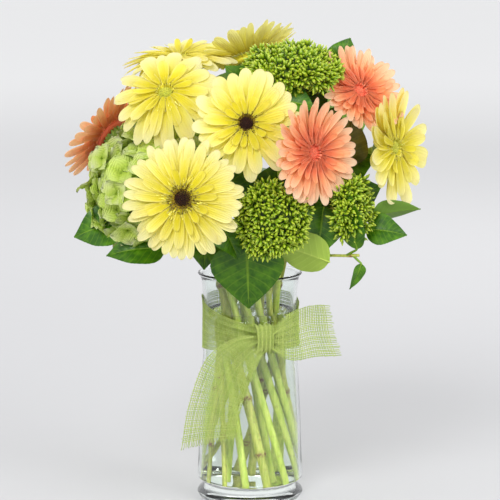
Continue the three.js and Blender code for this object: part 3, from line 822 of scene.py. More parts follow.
# ---------------------------------------------------------------- the big hydrangea
# A mophead: a dome of florets on short branches, each with four broad sepals round a bead, whitish green at
# the rim of the sepals and yellow-green in the middle. The florets hide the branches.
FLORET_SPACING = 0.0158
FLORET_SIZE = (0.0112, 0.0158)
FLORET_DEPTH = (-0.002, 0.009)
FLORET_TILT = 0.55
BEAD = ((0.1, 0.7), (0.5, 1), (0.9, 0.6), (1, 0))
BEAD_LENGTH, BEAD_RADIUS = 0.0018, 0.001
BRANCH_RADIUS = 0.0007
HEART_SHARE, HEART_LIFT = 0.76, 0.006
DOME_STEPS = 200
CROWDING = 1.15
SKIN_REACH = 0.007  # how far a floret's place may lie from the frame's head

# Each domed head, at the same place as its frame node: the middle of its underside over the middle of the
# vase's mouth, the way it faces, its radius and its height.
DOMES = {
    "hydrangea": ((-0.064, -0.006, 0.052), (-0.5, -0.34, 0.8), 0.062, 0.088),
    "mini_hydrangea_1": ((0.038, -0.014, 0.168), (0.04, -0.12, 0.99), 0.046, 0.038),
    "mini_hydrangea_2": ((0.018, -0.078, 0.06), (0.08, -0.98, -0.06), 0.034, 0.03),
    "mini_hydrangea_3": ((0.08, -0.052, 0.064), (0.86, -0.5, 0.06), 0.03, 0.027),
}
DOME = [(0.0, 0.0), (0.55, -0.05), (0.92, 0.16), (1.0, 0.42), (0.86, 0.7), (0.5, 0.93), (0.0, 1.0)]


def over_mouth(right, back, up):
    return np.array([right, back, vase_top + up])


class Dome(Facing):
    """A domed head's place, its radius and height, and its frame solid."""

    def __init__(self, name):
        middle, facing, self.radius, self.height = DOMES[name]
        self.face(over_mouth(*middle), np.array(facing))
        self.solid = BVHTree.FromObject(nodes[f"{name}_head"], bpy.context.evaluated_depsgraph_get())

    def spots(self, spacing, low=0.0):
        """Evenly spread places on the dome with the way out of it, where its frame solid has that skin."""
        outline = smooth_line(DOME, 8) * (self.radius, self.height)
        lengths = np.concatenate([[0], np.cumsum(np.linalg.norm(np.diff(outline, axis=0), axis=1))])
        strips = np.interp(np.linspace(0, lengths[-1], DOME_STEPS), lengths, np.arange(len(outline)))
        radius = np.interp(strips, np.arange(len(outline)), outline[:, 0])
        height = np.interp(strips, np.arange(len(outline)), outline[:, 1])
        bands = np.pi * (radius[1:] + radius[:-1]) * lengths[-1] / (DOME_STEPS - 1)
        area = np.concatenate([[0], np.cumsum(bands)])
        count = int(area[-1] / spacing**2 * CROWDING)
        found = []
        for k in range(count):
            share = (k + 0.5) / count * area[-1]
            r, h = np.interp(share, area, radius), np.interp(share, area, height)
            ahead = min(share + area[-1] * 0.01, area[-1])
            dr, dh = np.interp(ahead, area, radius) - r, np.interp(ahead, area, height) - h
            angle = k * GOLDEN_ANGLE
            flat = math.cos(angle) * self.right + math.sin(angle) * self.up
            normal = flat * dh - self.out * dr
            length = np.linalg.norm(normal)
            if length < 1e-9:
                continue
            point = self.middle + flat * r + self.out * h
            near = self.solid.find_nearest(Vector(point))
            if near[3] < SKIN_REACH and h > low * self.height:
                found.append((point, normal / length))
        return found


def sepal(shape, base, way, side, out, length, half, cup, tint):
    """A broad rounded sepal, a little cupped, with a short point."""
    t = np.linspace(0, 1, 6)[:, None]
    s = np.linspace(-1, 1, 5)[None]
    wide = half * (np.sin(np.pi * t**0.75) ** 0.6 * (1 - 0.12 * t) + 0.12 * (1 - t)) + 0.0001
    bow = cup * (np.sin(t * 1.9) - 0.7 * t) + 0.28 * half * s**2 * t
    ripple = 0.0008 * np.sin(s * 4 + t * 6 + tint * 20) * t
    points = base + way * (length * t)[..., None] + side * (wide * s)[..., None]
    points = points + out * (bow + ripple)[..., None]
    shape.grid(points, np.stack(np.broadcast_arrays(s, t, tint), -1))


def floret(shape, point, normal, size, draw):
    """Four sepals crossed round a bead."""
    tilt = normal + draw.uniform(-FLORET_TILT, FLORET_TILT, 3)
    out = tilt / np.linalg.norm(tilt)
    side = np.cross(out, draw.uniform(-1, 1, 3))
    side /= np.linalg.norm(side)
    over = np.cross(out, side)
    tint = draw.random()
    for k in range(4):
        turn = k * np.pi / 2 + draw.uniform(-0.12, 0.12)
        way = math.cos(turn) * side + math.sin(turn) * over
        cross = np.cross(out, way)
        lift = out * (0.0003 * (k % 2))
        length = size * draw.uniform(0.9, 1.08)
        sepal(shape, point + lift, way, cross, out, length, size * 0.56, size * draw.uniform(0.1, 0.75), tint)
    bud(shape, point + out * 0.0002, out, BEAD_LENGTH, BEAD_RADIUS, 6, (0, 0, tint), BEAD)
    branch = np.array([point - out * 0.011 - normal * 0.004, point - out * 0.004, point])
    rod(shape, branch, BRANCH_RADIUS, 5, (0, 0.1, tint))


sepal_skin = Finish("pale_sepal")
across, out, tint = sepal_skin.marks()
fan = (abs(across) * 0.7 + out) * 26 + sepal_skin.noise(90) * 5
veins = sepal_skin.node("Math", {"operation": "SINE"}, {0: fan})
tone = sepal_skin.ramp(
    out,
    [
        (0, paint(146, 178, 30)),
        (0.3, paint(196, 216, 92)),
        (0.75, paint(228, 237, 160)),
        (1, paint(244, 247, 208)),
    ],
)
tone = sepal_skin.mix(tint.between(0.45, 1) * 0.6, tone, paint(190, 214, 84))
tone = sepal_skin.mix(veins.between(0.7, 1) * 0.22, tone, paint(150, 186, 80))
tone = sepal_skin.brighten(tone, 0.92 + 0.14 * tint)
face = sepal_skin.glossy(
    {
        "Base Color": tone,
        "Roughness": 0.5 + 0.1 * veins,
        "Normal": sepal_skin.bump(veins, 0.0002),
        "Specular IOR Level": 0.35,
    }
)
behind = sepal_skin.node("BsdfTranslucent", sockets={"Color": paint(190, 214, 90)})
PALE_SEPAL = sepal_skin.done(sepal_skin.node("MixShader", sockets={0: 0.3, 1: face, 2: behind}))

heart_skin = Finish("heart_painted_shade")
depth = heart_skin.noise(160, 3)
# Both greens are very dark: the branches' own green, darkened as painted shade inside the head.
heart_shade_tone = heart_skin.mix(depth.between(0.35, 0.65), paint(34, 58, 6), paint(84, 112, 20))
SHADED_HEART = heart_skin.done(
    heart_skin.glossy(
        {"Base Color": heart_shade_tone, "Roughness": 0.6 + 0.2 * depth, "Normal": heart_skin.bump(depth, 0.002)}
    )
)


def heart(dome, share, lift):
    """The crowded short branches inside a head, as a lumpy green dome under its florets, darkened as painted
    shade.
    """
    outline = smooth_line([(r * dome.radius * share, h * dome.height * share + lift) for r, h in DOME], 3)
    body = turned(outline, 32)
    around = np.sin(body[..., 0] * 700) * np.sin(body[..., 1] * 640)
    lumps = 1 + 0.04 * around + 0.04 * np.sin(body[..., 2] * 600)
    body[..., :2] *= lumps[..., None]
    shape = Shape()
    shape.grid(dome.placed(body), (0, 0, 0), round_columns=True)
    return shape


draw = np.random.default_rng(21)
mophead = Dome("hydrangea")
shape = Shape()
for point, normal in mophead.spots(FLORET_SPACING):
    point = point - normal * draw.uniform(*FLORET_DEPTH)
    floret(shape, point, normal, draw.uniform(*FLORET_SIZE), draw)
shape.piece("hydrangea_florets", PALE_SEPAL, ["hydrangea_head"], "pale_floret")
shape = heart(mophead, HEART_SHARE, HEART_LIFT)
shape.piece("hydrangea_heart", SHADED_HEART, ["hydrangea_head"], "pale_floret", weld=True)

# ---------------------------------------------------------------- the small green hydrangeas
# Heads cut before they open: hundreds of hard, pointed lime buds, in tufts on short branches with dark gaps
# between the tufts, where the painted shade of the dark heart shows.
TUFT_SPACING = 0.0118
TUFT_RADIUS = (0.0054, 0.0082)
TUFT_DEPTH = (-0.002, 0.007)
BUD_LENGTH = (0.0050, 0.0088)
BUD_RADIUS = (0.001, 0.0016)
BUDS, FULL_TUFT = 17, 0.007  # how many stand on a tuft of this radius
SPINDLE = ((0.05, 0.3), (0.4, 0.85), (0.6, 1), (0.82, 0.55), (1, 0))
MINI_HEART_SHARE, MINI_HEART_LIFT = 0.64, 0.001

bud_skin = Finish("lime_bud")
up, _, tint = bud_skin.marks()
# Dark at a bud's base and pale at its tip: painted shade deep in the tuft and a painted highlight on the tip.
bud_tone_painted_light = bud_skin.ramp(up, [(0, paint(50, 84, 2)), (0.5, paint(122, 154, 12)), (1, paint(198, 212, 62))])
bud_tone_painted_light = bud_skin.mix(tint.between(0.5, 1) * 0.5, bud_tone_painted_light, paint(100, 142, 8))
bud_tone_painted_light = bud_skin.brighten(bud_tone_painted_light, 0.9 + 0.2 * tint)
LIME_BUD = bud_skin.done(
    bud_skin.glossy(
        {
            "Base Color": bud_tone_painted_light,
            "Roughness": 0.3 + 0.1 * tint,
            "Subsurface Weight": 0.15,
            "Subsurface Radius": (0.001, 0.0015, 0.0005),
        }
    )
)


def tuft(shape, point, normal, radius, draw):
    """A tuft of buds that radiate from a point on a short branch."""
    tone = draw.random()
    side = np.cross(normal, (0.2, 0.9, 0.3))
    side /= np.linalg.norm(side)
    over = np.cross(normal, side)
    root = point - normal * radius * 1.05
    count = int(BUDS * (radius / FULL_TUFT) ** 2)
    for k in range(count):
        polar = math.acos(1 - (k + 0.5) / count * 1.05)
        turn = k * GOLDEN_ANGLE + tone * 6
        way = normal * math.cos(polar) + (side * math.cos(turn) + over * math.sin(turn)) * math.sin(polar)
        way = way + draw.uniform(-0.2, 0.2, 3)
        length = draw.uniform(*BUD_LENGTH)
        base = root + way * (radius - 0.003) + draw.uniform(-0.0006, 0.0006, 3)
        thick = draw.uniform(*BUD_RADIUS)
        bud(shape, base, way, length, thick, 5, (0, 1, 0.6 * tone + 0.4 * draw.random()), SPINDLE)


for seed, name in enumerate(["mini_hydrangea_1", "mini_hydrangea_2", "mini_hydrangea_3"]):
    draw = np.random.default_rng(31 + seed)
    dome = Dome(name)
    shape = Shape()
    for point, normal in dome.spots(TUFT_SPACING, low=-0.02):
        point = point - normal * draw.uniform(*TUFT_DEPTH)
        tuft(shape, point, normal, draw.uniform(*TUFT_RADIUS), draw)
    shape.piece(f"{name}_buds", LIME_BUD, [f"{name}_head"], "lime_bud")
    shape = heart(dome, MINI_HEART_SHARE, MINI_HEART_LIFT)
    shape.piece(f"{name}_heart", SHADED_HEART, [f"{name}_head"], "lime_bud", weld=True)

# ---------------------------------------------------------------- the leaves
# Salal and hydrangea leaves: firm, glossy, dark green blades on short stalks, with a pale midrib, side veins
# sunk in the face, fine teeth along the edge and a drawn-out tip.
LEAF_ROWS, LEAF_COLUMNS = 36, 21
LEAF_THICK = 0.0005
OUTLINE_PEAK = 0.915  # what brings an outline's widest place to the leaf's width
SIDE_VEINS, VEIN_SLANT = 9, 1.7
VEIN_DEPTH, MIDRIB_DEPTH = 0.00035, 0.0006
TEETH, TOOTH = 22, 0.018
HALF_FOLD = 0.16  # how far the edge stands up, as a share of half the width
NARROWEST = 0.0008
STALK_ROWS = [3, 8, 16]  # the rows of the blade that its stalk runs under
STALK_THICK, STALK_THIN = 0.0013, 0.0004
UNDERSIDE = 2  # added to the tint mark of a leaf's back
TOP, MIDDLE, RIGHT = "mini_hydrangea_1_stem", "mini_hydrangea_2_stem", "mini_hydrangea_3_stem"
LEFT = "hydrangea_stem"

# Each leaf, at the same places as its frame node: its stem and how far over the vase's mouth it leaves it,
# where the blade begins and ends over the middle of the mouth, the way its upper side faces, its width,
# and how far it arches towards that side.
LEAVES = {
    "leaf_front": (
        MIDDLE, 0.034, (-0.003, -0.074, 0.038), (-0.001, -0.057, -0.024), (0, -0.97, 0.25), 0.064, 0.005,
    ),
    "leaf_front_left": (
        MIDDLE, 0.046, (-0.026, -0.08, 0.056), (-0.01, -0.084, 0.024), (0.2, -0.8, 0.55), 0.034, 0.003,
    ),
    "leaf_right_pale": (
        TWIG, 0.019, (0.069, -0.066, 0.019), (0.014, -0.072, 0.038), (0.05, 0.96, 0.25), 0.037, 0.003,
    ),
    "leaf_twig_up": (
        TWIG, 0.023, (0.093, -0.065, 0.03), (0.086, -0.072, 0.082), (-0.45, -0.8, 0.2), 0.024, 0.004,
    ),
    "leaf_twig_down": (
        TWIG, 0.0235, (0.097, -0.064, 0.017), (0.087, -0.062, -0.006), (0.6, -0.7, 0.2), 0.014, 0.002,
    ),
    "leaf_right_upper": (
        RIGHT, 0.048, (0.106, -0.038, 0.054), (0.151, -0.028, 0.06), (0, 0.8, 0.6), 0.026, 0.003,
    ),
    "leaf_right_lower": (
        RIGHT, 0.042, (0.102, -0.042, 0.044), (0.138, -0.044, 0.039), (0.1, -0.78, 0.62), 0.032, 0.003,
    ),
    "leaf_right_dark": (
        RIGHT, 0.038, (0.064, -0.056, 0.066), (0.058, -0.062, 0.022), (0.15, -0.95, 0.2), 0.042, 0.003,
    ),
    "leaf_left": (
        LEFT, 0.034, (-0.112, -0.038, 0.05), (-0.156, -0.028, 0.035), (-0.3, -0.8, 0.5), 0.044, 0.004,
    ),
    "leaf_left_low": (
        LEFT, 0.026, (-0.074, -0.058, 0.03), (-0.126, -0.052, 0.022), (-0.2, -0.75, 0.62), 0.038, 0.005,
    ),
    "leaf_top_right": (
        TOP, 0.15, (0.076, 0.014, 0.18), (0.09, 0.022, 0.208), (0.3, -0.7, 0.6), 0.028, 0.003,
    ),
    "leaf_under_top": (
        TOP, 0.142, (0.024, -0.044, 0.158), (0.056, -0.05, 0.152), (0.1, -0.85, 0.5), 0.036, 0.003,
    ),
    "leaf_middle_right": (
        TOP, 0.084, (0.08, -0.026, 0.098), (0.09, -0.04, 0.144), (0.3, -0.9, 0.2), 0.04, 0.004,
    ),
    "leaf_back_1": (
        BACK_LEFT, 0.044, (-0.032, 0.068, 0.058), (-0.062, 0.136, 0.062), (-0.2, 0.45, 0.87), 0.06, 0.008,
    ),
    "leaf_back_2": (
        BACK_RIGHT, 0.04, (0.024, 0.072, 0.06), (0.036, 0.142, 0.07), (0.1, 0.45, 0.87), 0.06, 0.008,
    ),
    "leaf_back_3": (
        BACK_RIGHT, 0.016, (0.056, 0.054, 0.03), (0.12, 0.088, 0.04), (0.3, 0.4, 0.86), 0.058, 0.007,
    ),
    "leaf_back_4": (
        BACK_LEFT, 0.088, (-0.056, 0.074, 0.102), (-0.112, 0.106, 0.128), (-0.3, 0.75, 0.6), 0.056, 0.006,
    ),
    "leaf_back_5": (
        BACK_LEFT, 0.114, (-0.026, 0.084, 0.124), (-0.006, 0.126, 0.172), (0.1, 0.8, 0.6), 0.054, 0.006,
    ),
    "leaf_back_6": (
        BACK_RIGHT, 0.112, (0.07, 0.066, 0.12), (0.116, 0.088, 0.158), (0.4, 0.75, 0.5), 0.056, 0.006,
    ),
}


class Blade:
    """A leaf's stalk, which leaves its stem, and its blade."""

    def __init__(self, stem, height, base, end, face, width, arch):
        line = stem_lines[stem]
        level = vase_top + height
        self.start = np.array([np.interp(level, line[:, 2], line[:, k]) for k in range(3)])
        self.base, self.end = over_mouth(*base), over_mouth(*end)
        self.face = np.array(face) / np.linalg.norm(face)
        self.width, self.arch = width, arch


def blade(shape, leaf, draw, tint):
    """A leaf's upper and under sides, and its stalk, which runs on under the blade."""
    t = np.linspace(0, 1, LEAF_ROWS)
    middle = (leaf.base + leaf.end) / 2 + leaf.face * leaf.arch * 2
    line = np.outer((1 - t) ** 2, leaf.base) + np.outer(2 * t * (1 - t), middle) + np.outer(t**2, leaf.end)
    way = np.gradient(line, axis=0)
    way /= np.linalg.norm(way, axis=1)[:, None]
    side = np.cross(way, leaf.face)
    side /= np.linalg.norm(side, axis=1)[:, None]
    out = np.cross(side, way)
    s = np.linspace(-1, 1, LEAF_COLUMNS)[None]
    u = t[:, None]
    outline = np.sin(np.pi * u**0.66) ** 0.9 * (1 - 0.25 * u) / OUTLINE_PEAK
    teeth = 1 + TOOTH * np.where(abs(s) > 0.97, np.mod(u * TEETH, 1) - 0.5, 0)
    half = np.maximum(outline * leaf.width / 2, NARROWEST) * teeth
    veins = np.mod(u * SIDE_VEINS - abs(s) * VEIN_SLANT, 1)
    sunk = np.exp(-(((veins - 0.5) / 0.16) ** 2)) * (1 - abs(s) ** 4) * VEIN_DEPTH
    rib = np.exp(-((s / 0.07) ** 2)) * MIDRIB_DEPTH
    wave = draw.uniform(0.04, 0.09) * half * s**2
    wave = wave * np.sin(u * draw.uniform(8, 13) + draw.uniform(0, 6) + 1.5 * np.sign(s))
    curl = 0.1 * half * (abs(s) ** 3) * draw.uniform(-1, 0.6)
    lift = HALF_FOLD * abs(s) * half + curl + wave - sunk - rib
    lift = lift * np.clip(u * 8, 0, 1)
    points = line[:, None] + side[:, None] * (half * s)[..., None] + out[:, None] * lift[..., None]
    thick = LEAF_THICK * (1 - s**6) * np.clip(u * 6, 0, 1) * np.clip((1 - u) * 9, 0, 1)
    shape.grid(points, np.stack(np.broadcast_arrays(s, u, tint), -1))
    under = (points - out[:, None] * thick[..., None])[:, ::-1]
    shape.grid(under, np.stack(np.broadcast_arrays(-s, u, tint + UNDERSIDE), -1))
    below = line[STALK_ROWS] - out[STALK_ROWS] * LEAF_THICK
    stalk_line = smooth_line([leaf.start, (leaf.start + leaf.base) / 2, leaf.base, *below], 4)
    rod(shape, stalk_line, np.linspace(STALK_THICK, STALK_THIN, len(stalk_line)), 6, (0, 0.5, tint))


def leaf_skin(name, dark, light, rib, back, glow):
    """A leaf's finish. Marks are across it, along it, and its own tint, with UNDERSIDE added on its back."""
    skin = Finish(name)
    across, along, tint = skin.marks()
    slanted = along * SIDE_VEINS - abs(across) * VEIN_SLANT
    side_veins = skin.node("Math", {"operation": "FRACT"}, {0: slanted + 4})
    near_vein = 1 - abs(side_veins - 0.5).between(0.02, 0.1)
    midrib = 1 - abs(across).between(0.01, 0.06)
    underneath = tint.between(1.4, 1.6)
    mottle = skin.noise(130, 4, 0.6)
    colour = skin.mix(mottle.between(0.35, 0.7), dark, light)
    colour = skin.mix(near_vein * 0.3, colour, rib)
    colour = skin.mix(midrib * 0.7, colour, rib)
    colour = skin.mix(underneath, colour, skin.mix(midrib * 0.5 + near_vein * 0.25, back, rib))
    colour = skin.brighten(colour, 0.8 + 0.4 * (tint - UNDERSIDE * underneath))
    gloss = skin.glossy(
        {
            "Base Color": colour,
            "Roughness": 0.34 + 0.14 * mottle,
            "Normal": skin.bump(mottle, 0.0003),
            "Specular IOR Level": 0.32,
            "Coat Weight": 0.06,
            "Coat Roughness": 0.25,
        }
    )
    through = skin.node("BsdfTranslucent", sockets={"Color": glow})
    return skin.done(skin.node("MixShader", sockets={0: 0.12, 1: gloss, 2: through}))


DARK_LEAF = leaf_skin(
    "dark_leaf",
    dark=paint(44, 90, 0),
    light=paint(78, 126, 6),
    rib=paint(122, 158, 36),
    back=paint(104, 142, 44),
    glow=paint(90, 150, 10),
)
PALE_LEAF = leaf_skin(
    "pale_leaf",
    dark=paint(124, 152, 26),
    light=paint(152, 176, 54),
    rib=paint(182, 202, 92),
    back=paint(146, 172, 66),
    glow=paint(150, 180, 40),
)
BRONZE_LEAF = leaf_skin(
    "bronze_leaf",
    dark=paint(78, 76, 10),
    light=paint(108, 98, 22),
    rib=paint(134, 128, 50),
    back=paint(112, 108, 44),
    glow=paint(120, 110, 20),
)
LEAF_SKINS = {"leaf_right_pale": PALE_LEAF, "leaf_middle_right": BRONZE_LEAF}
for seed, name in enumerate(sorted(LEAVES)):
    draw = np.random.default_rng(61 + seed)
    leaf = Blade(*LEAVES[name])
    shape = Shape()
    blade(shape, leaf, draw, draw.random())
    shape.piece(f"{name}_blade", LEAF_SKINS.get(name, DARK_LEAF), [name], "leaf")

# More leaves of the same stems stay inside the bunch and close it between the heads.
INNER_LEAVES = [
    (TOP, 0.075, (0.050, -0.020, 0.090), (0.112, -0.010, 0.104), (0.1, -0.9, 0.4), 0.062, 0.005),
    (TOP, 0.100, (0.050, -0.022, 0.104), (0.077, -0.020, 0.150), (0.3, -0.85, 0.3), 0.054, 0.005),
    (RIGHT, 0.050, (0.060, -0.026, 0.058), (0.116, -0.026, 0.080), (0.2, -0.9, 0.3), 0.056, 0.004),
    (TOP, 0.060, (0.028, -0.030, 0.066), (0.074, -0.044, 0.108), (0.1, -0.9, 0.3), 0.056, 0.004),
    (MIDDLE, 0.050, (-0.018, -0.040, 0.060), (-0.030, -0.052, 0.120), (0, -0.95, 0.2), 0.062, 0.004),
    (MIDDLE, 0.046, (0.018, -0.042, 0.056), (0.044, -0.046, 0.112), (0.1, -0.95, 0.2), 0.056, 0.004),
    (TOP, 0.140, (0.012, -0.010, 0.148), (-0.022, -0.020, 0.186), (0, -0.8, 0.6), 0.046, 0.004),
    (LEFT, 0.030, (-0.036, -0.044, 0.060), (-0.040, -0.066, 0.012), (-0.1, -0.9, 0.3), 0.050, 0.004),
    (TOP, 0.130, (0.044, 0.000, 0.140), (0.062, 0.004, 0.184), (0.3, -0.8, 0.5), 0.036, 0.004),
]
for number, numbers in enumerate(INNER_LEAVES, 1):
    draw = np.random.default_rng(91 + number)
    shape = Shape()
    # A tint of at most 0.4 keeps these leaves darker than the outer ones: painted shade inside the bunch.
    blade(shape, Blade(*numbers), draw, draw.uniform(0, 0.4))
    shape.piece(f"inner_leaf_{number}", DARK_LEAF, [numbers[0]], "leaf")

# ---------------------------------------------------------------- the ribbon
# Two-inch green burlap, an open square weave of coarse yarn. It goes once round the vase's neck and is
# tied in front: one tail hangs to the left, the other stands out to the right, both cut slanting.
WIDTH = 0.051
YARN_PITCH = 0.0017
WARP_YARNS = round(WIDTH / YARN_PITCH)
YARN_HALF = 0.00032
YARN_THICK = 0.00016
KNOT_ANGLE = math.radians(-90 + 14.5)  # a little to the right of the front
KNOT_BELOW_RIM = 0.053
BAND_BELOW_RIM = 0.046
KNOT_SIZE = (0.017, 0.025, 0.011)
KNOT_AIR = 0.0004
BAND_AIR = 0.0006
BAND_OPENS = 0.27  # the share of the way round that the gathers take to open
EDGE_MARGIN = 0.0015
BAND_PLEAT, TAIL_PLEAT, WRAP_PLEAT = 0.0021, 0.0019, 0.0008
TAIL_OPENS = 0.45
WRAP_LENGTH = 0.056
WRAP_ROUND = 1.35 * math.pi
FRAYED_YARNS = 2  # weft yarns lost from a cut end

knot_height = vase_top - KNOT_BELOW_RIM
band_height = vase_top - BAND_BELOW_RIM


def wall_at(height):
    return np.interp(height, wall_heights, wall_radii)


knot_out = np.array([math.cos(KNOT_ANGLE), math.sin(KNOT_ANGLE), 0])
knot_right = np.array([-knot_out[1], knot_out[0], 0])
knot_up = np.array([0, 0, 1.0])
knot_middle = knot_out * (wall_at(knot_height) + KNOT_AIR + KNOT_SIZE[2] / 2) + knot_up * knot_height


def by_knot(right, up, front):
    """A place this far from the knot's middle."""
    return knot_middle + right * knot_right + up * knot_up + front * knot_out


def band_place(along, across):
    """A point of the band by its share round the vase from the knot and its share of the width."""
    start = KNOT_SIZE[0] * 0.3 / wall_at(knot_height)
    angle = KNOT_ANGLE + start + along * (2 * np.pi - 2 * start)
    opened = np.minimum(1, np.minimum(along, 1 - along) / BAND_OPENS)
    gathered = KNOT_SIZE[1] * 0.4
    half = gathered + (WIDTH / 2 - EDGE_MARGIN - gathered) * opened
    height = knot_height + (band_height - knot_height) * opened + (2 * across - 1) * half
    pleats = (1 - opened) ** 1.5 * BAND_PLEAT * np.sin(across * 21 + 4 * (along > 0.5))
    lift = BAND_AIR + (1 - opened) * KNOT_SIZE[2] * 0.3 + pleats
    bulge = 0.004 * np.exp(-(((along - 0.035) / 0.02) ** 2)) * np.sin(np.pi * across)
    radius = wall_at(height) + lift + bulge
    return np.stack([np.cos(angle) * radius, np.sin(angle) * radius, height + 0 * angle], -1)


def tail_place(spine, width, start_way, end_way, slant, waves):
    """A tail along a spine from the knot, which opens from the gather to its full width."""
    line = smooth_line([by_knot(*point) for point in spine], 12)
    gone = np.concatenate([[0], np.cumsum(np.linalg.norm(np.diff(line, axis=0), axis=1))])
    first, last = np.array(start_way), np.array(end_way)

    def place(along, across):
        def spot(shift):
            return np.stack([np.interp(along * gone[-1] + shift, gone, line[:, k]) for k in range(3)], -1)

        tangent = spot(0.002) - spot(-0.002)
        tangent /= np.linalg.norm(tangent, axis=-1)[..., None]
        way = first * (1 - along)[..., None] + last * along[..., None]
        way /= np.linalg.norm(way, axis=-1)[..., None]
        share = np.minimum(1, along / TAIL_OPENS)
        opened = share * (2 - share)
        half = KNOT_SIZE[1] * 0.34 * (1 - opened) + width / 2 * opened
        side = across * 2 - 1
        out = np.cross(tangent, way)
        out /= np.linalg.norm(out, axis=-1)[..., None]
        pleats = (1 - opened) * TAIL_PLEAT * np.sin(across * 19)
        pleats = pleats + opened * waves * np.sin(across * 5.2 + along * 3)
        points = spot(0) + way * (side * half)[..., None] + tangent * (side * slant * along)[..., None]
        return points + out * pleats[..., None]

    return place, gone[-1]


def wrap_place(along, across):
    """The turn of ribbon that is pulled down over the knot."""
    turn = (along - 0.5) * WRAP_ROUND
    pinch = 1 - 0.12 * np.cos(turn)
    right = (across - 0.5) * KNOT_SIZE[0] * pinch
    pleats = WRAP_PLEAT * np.sin(across * 26)
    front = np.cos(turn) * (KNOT_SIZE[2] * 0.62 + pleats) + KNOT_AIR
    up = -np.sin(turn) * (KNOT_SIZE[1] / 2 + pleats)
    return by_knot(right[..., None], up[..., None], front[..., None])


def yarn(shape, points, normals, tint, thick):
    """One flattened yarn along its points."""
    way = np.gradient(points, axis=0)
    way /= np.linalg.norm(way, axis=1)[:, None]
    side = np.cross(way, normals)
    side /= np.maximum(np.linalg.norm(side, axis=1), 1e-9)[:, None]
    over = np.cross(side, way)
    a, b = side * YARN_HALF * thick, over * YARN_THICK * thick
    ring = np.stack([points + a, points + b, points - a, points - b], 1)
    number = shape.grid(ring, (0, 0.5, tint), round_columns=True)
    ends = np.array([number[0, :4][::-1], number[-1, :4]])
    shape.faces.append(ends)


def weave(shape, place, length, draw, frayed=False):
    """Warp yarns along a surface and weft yarns across it, over and under each other. Its end may fray."""
    rows = max(6, int(length / YARN_PITCH))
    warp_at = (np.arange(WARP_YARNS) + 0.5 + draw.uniform(-0.22, 0.22, WARP_YARNS)) / WARP_YARNS
    weft_at = (np.arange(rows) + 0.5 + draw.uniform(-0.25, 0.25, rows)) / rows
    grid_along, grid_across = np.meshgrid(weft_at, warp_at, indexing="ij")
    surface = place(grid_along, grid_across)
    down = np.gradient(surface, axis=0)
    over = np.gradient(surface, axis=1)
    normals = np.cross(down, over)
    normals /= np.maximum(np.linalg.norm(normals, axis=-1), 1e-12)[..., None]
    turn = np.where(np.add.outer(np.arange(rows), np.arange(WARP_YARNS)) % 2 == 0, 1.0, -1.0)[..., None]
    bend = normals * turn * YARN_THICK * 1.05
    for j in range(WARP_YARNS):
        points = surface[:, j] + bend[:, j]
        along = [points]
        ups = [normals[:, j]]
        for end in (0, -1):
            step = points[end] - points[1 if end == 0 else -2]
            reach = draw.uniform(0.5, 2.0) if frayed and end == -1 else 0.4
            stray = draw.uniform(-0.5, 0.5) * over[end, j] * 0.5
            extra = np.array([points[end] + step * reach * k + stray * k**2 for k in (0.5, 1.0)])
            along = [extra[::-1], *along] if end == 0 else [*along, extra]
            ups = [ups[0][:1].repeat(2, 0), *ups] if end == 0 else [*ups, ups[-1][-1:].repeat(2, 0)]
        yarn(shape, np.concatenate(along), np.concatenate(ups), draw.random(), draw.uniform(0.85, 1.2))
    for i in range(rows - (FRAYED_YARNS if frayed else 0)):
        points = surface[i] - bend[i]
        left = points[0] + (points[0] - points[1]) * draw.uniform(0.3, 0.75)
        right = points[-1] + (points[-1] - points[-2]) * draw.uniform(0.3, 0.75)
        line = np.concatenate([[left], points, [right]])
        ups = np.concatenate([normals[i][:1], normals[i], normals[i][-1:]])
        yarn(shape, line, ups, draw.random(), draw.uniform(0.85, 1.2))
    return rows * YARN_PITCH


yarn_skin = Finish("green_burlap")
tint = yarn_skin.marks()[2]
hairs = yarn_skin.noise(1500, 3, 0.6)
yarn_tone = yarn_skin.mix(hairs.between(0.3, 0.7), paint(178, 200, 84), paint(216, 228, 136))
yarn_tone = yarn_skin.mix(tint.between(0.1, 1) * 0.7, yarn_tone, paint(140, 168, 62))
yarn_tone = yarn_skin.brighten(yarn_tone, 0.9 + 0.2 * tint)
coarse = yarn_skin.glossy(
    {
        "Base Color": yarn_tone,
        "Roughness": 0.75 + 0.15 * hairs,
        "Normal": yarn_skin.bump(hairs, 0.0003),
        "Sheen Weight": 0.3,
        "Sheen Roughness": 0.5,
        "Specular IOR Level": 0.25,
    }
)
lit_through = yarn_skin.node("BsdfTranslucent", sockets={"Color": paint(180, 206, 104)})
BURLAP = yarn_skin.done(yarn_skin.node("MixShader", sockets={0: 0.15, 1: coarse, 2: lit_through}))

# Each tail's path from the knot's middle: to the right, up and to the front.
HANGING = [
    (-0.005, -0.003, 0.004),
    (-0.019, -0.011, 0.004),
    (-0.033, -0.031, -0.004),
    (-0.043, -0.065, -0.010),
    (-0.048, -0.095, -0.012),
]
JUTTING = [(0.006, 0, 0.004), (0.022, 0.002, 0.007), (0.042, 0.006, 0.006), (0.064, 0.005, 0.002)]
draw = np.random.default_rng(41)
ribbon = Shape()
left_place, left_length = tail_place(HANGING, 0.046, (0.6, 0, -0.8), (0.99, 0, -0.08), -0.007, 0.0022)
right_place, right_length = tail_place(JUTTING, 0.047, (0.1, 0, 1), (-0.06, 0, 1), -0.006, 0.0028)
band_length = 2 * np.pi * (wall_at(band_height) + 0.001)
woven = weave(ribbon, band_place, band_length, draw)
woven += weave(ribbon, left_place, left_length, draw, frayed=True)
woven += weave(ribbon, right_place, right_length, draw, frayed=True)
woven += weave(ribbon, wrap_place, WRAP_LENGTH, draw)
tied = ribbon.piece("burlap_ribbon", BURLAP, ["ribbon"], "burlap")

# ---------------------------------------------------------------- the table, the light and the camera
# A pale surface with painted shade, darker near the bouquet, that meets a pale studio, and three big soft
# boxes: in front at the left, at the right, and behind. The camera looks at the bouquet's front from a little
# above.
FLOOR_SIZE = 60
AIM = Vector((0, 0, 0.227))
DISTANCE = 2.0
ELEVATION = math.radians(9)
LENS, SENSOR = 160, 36

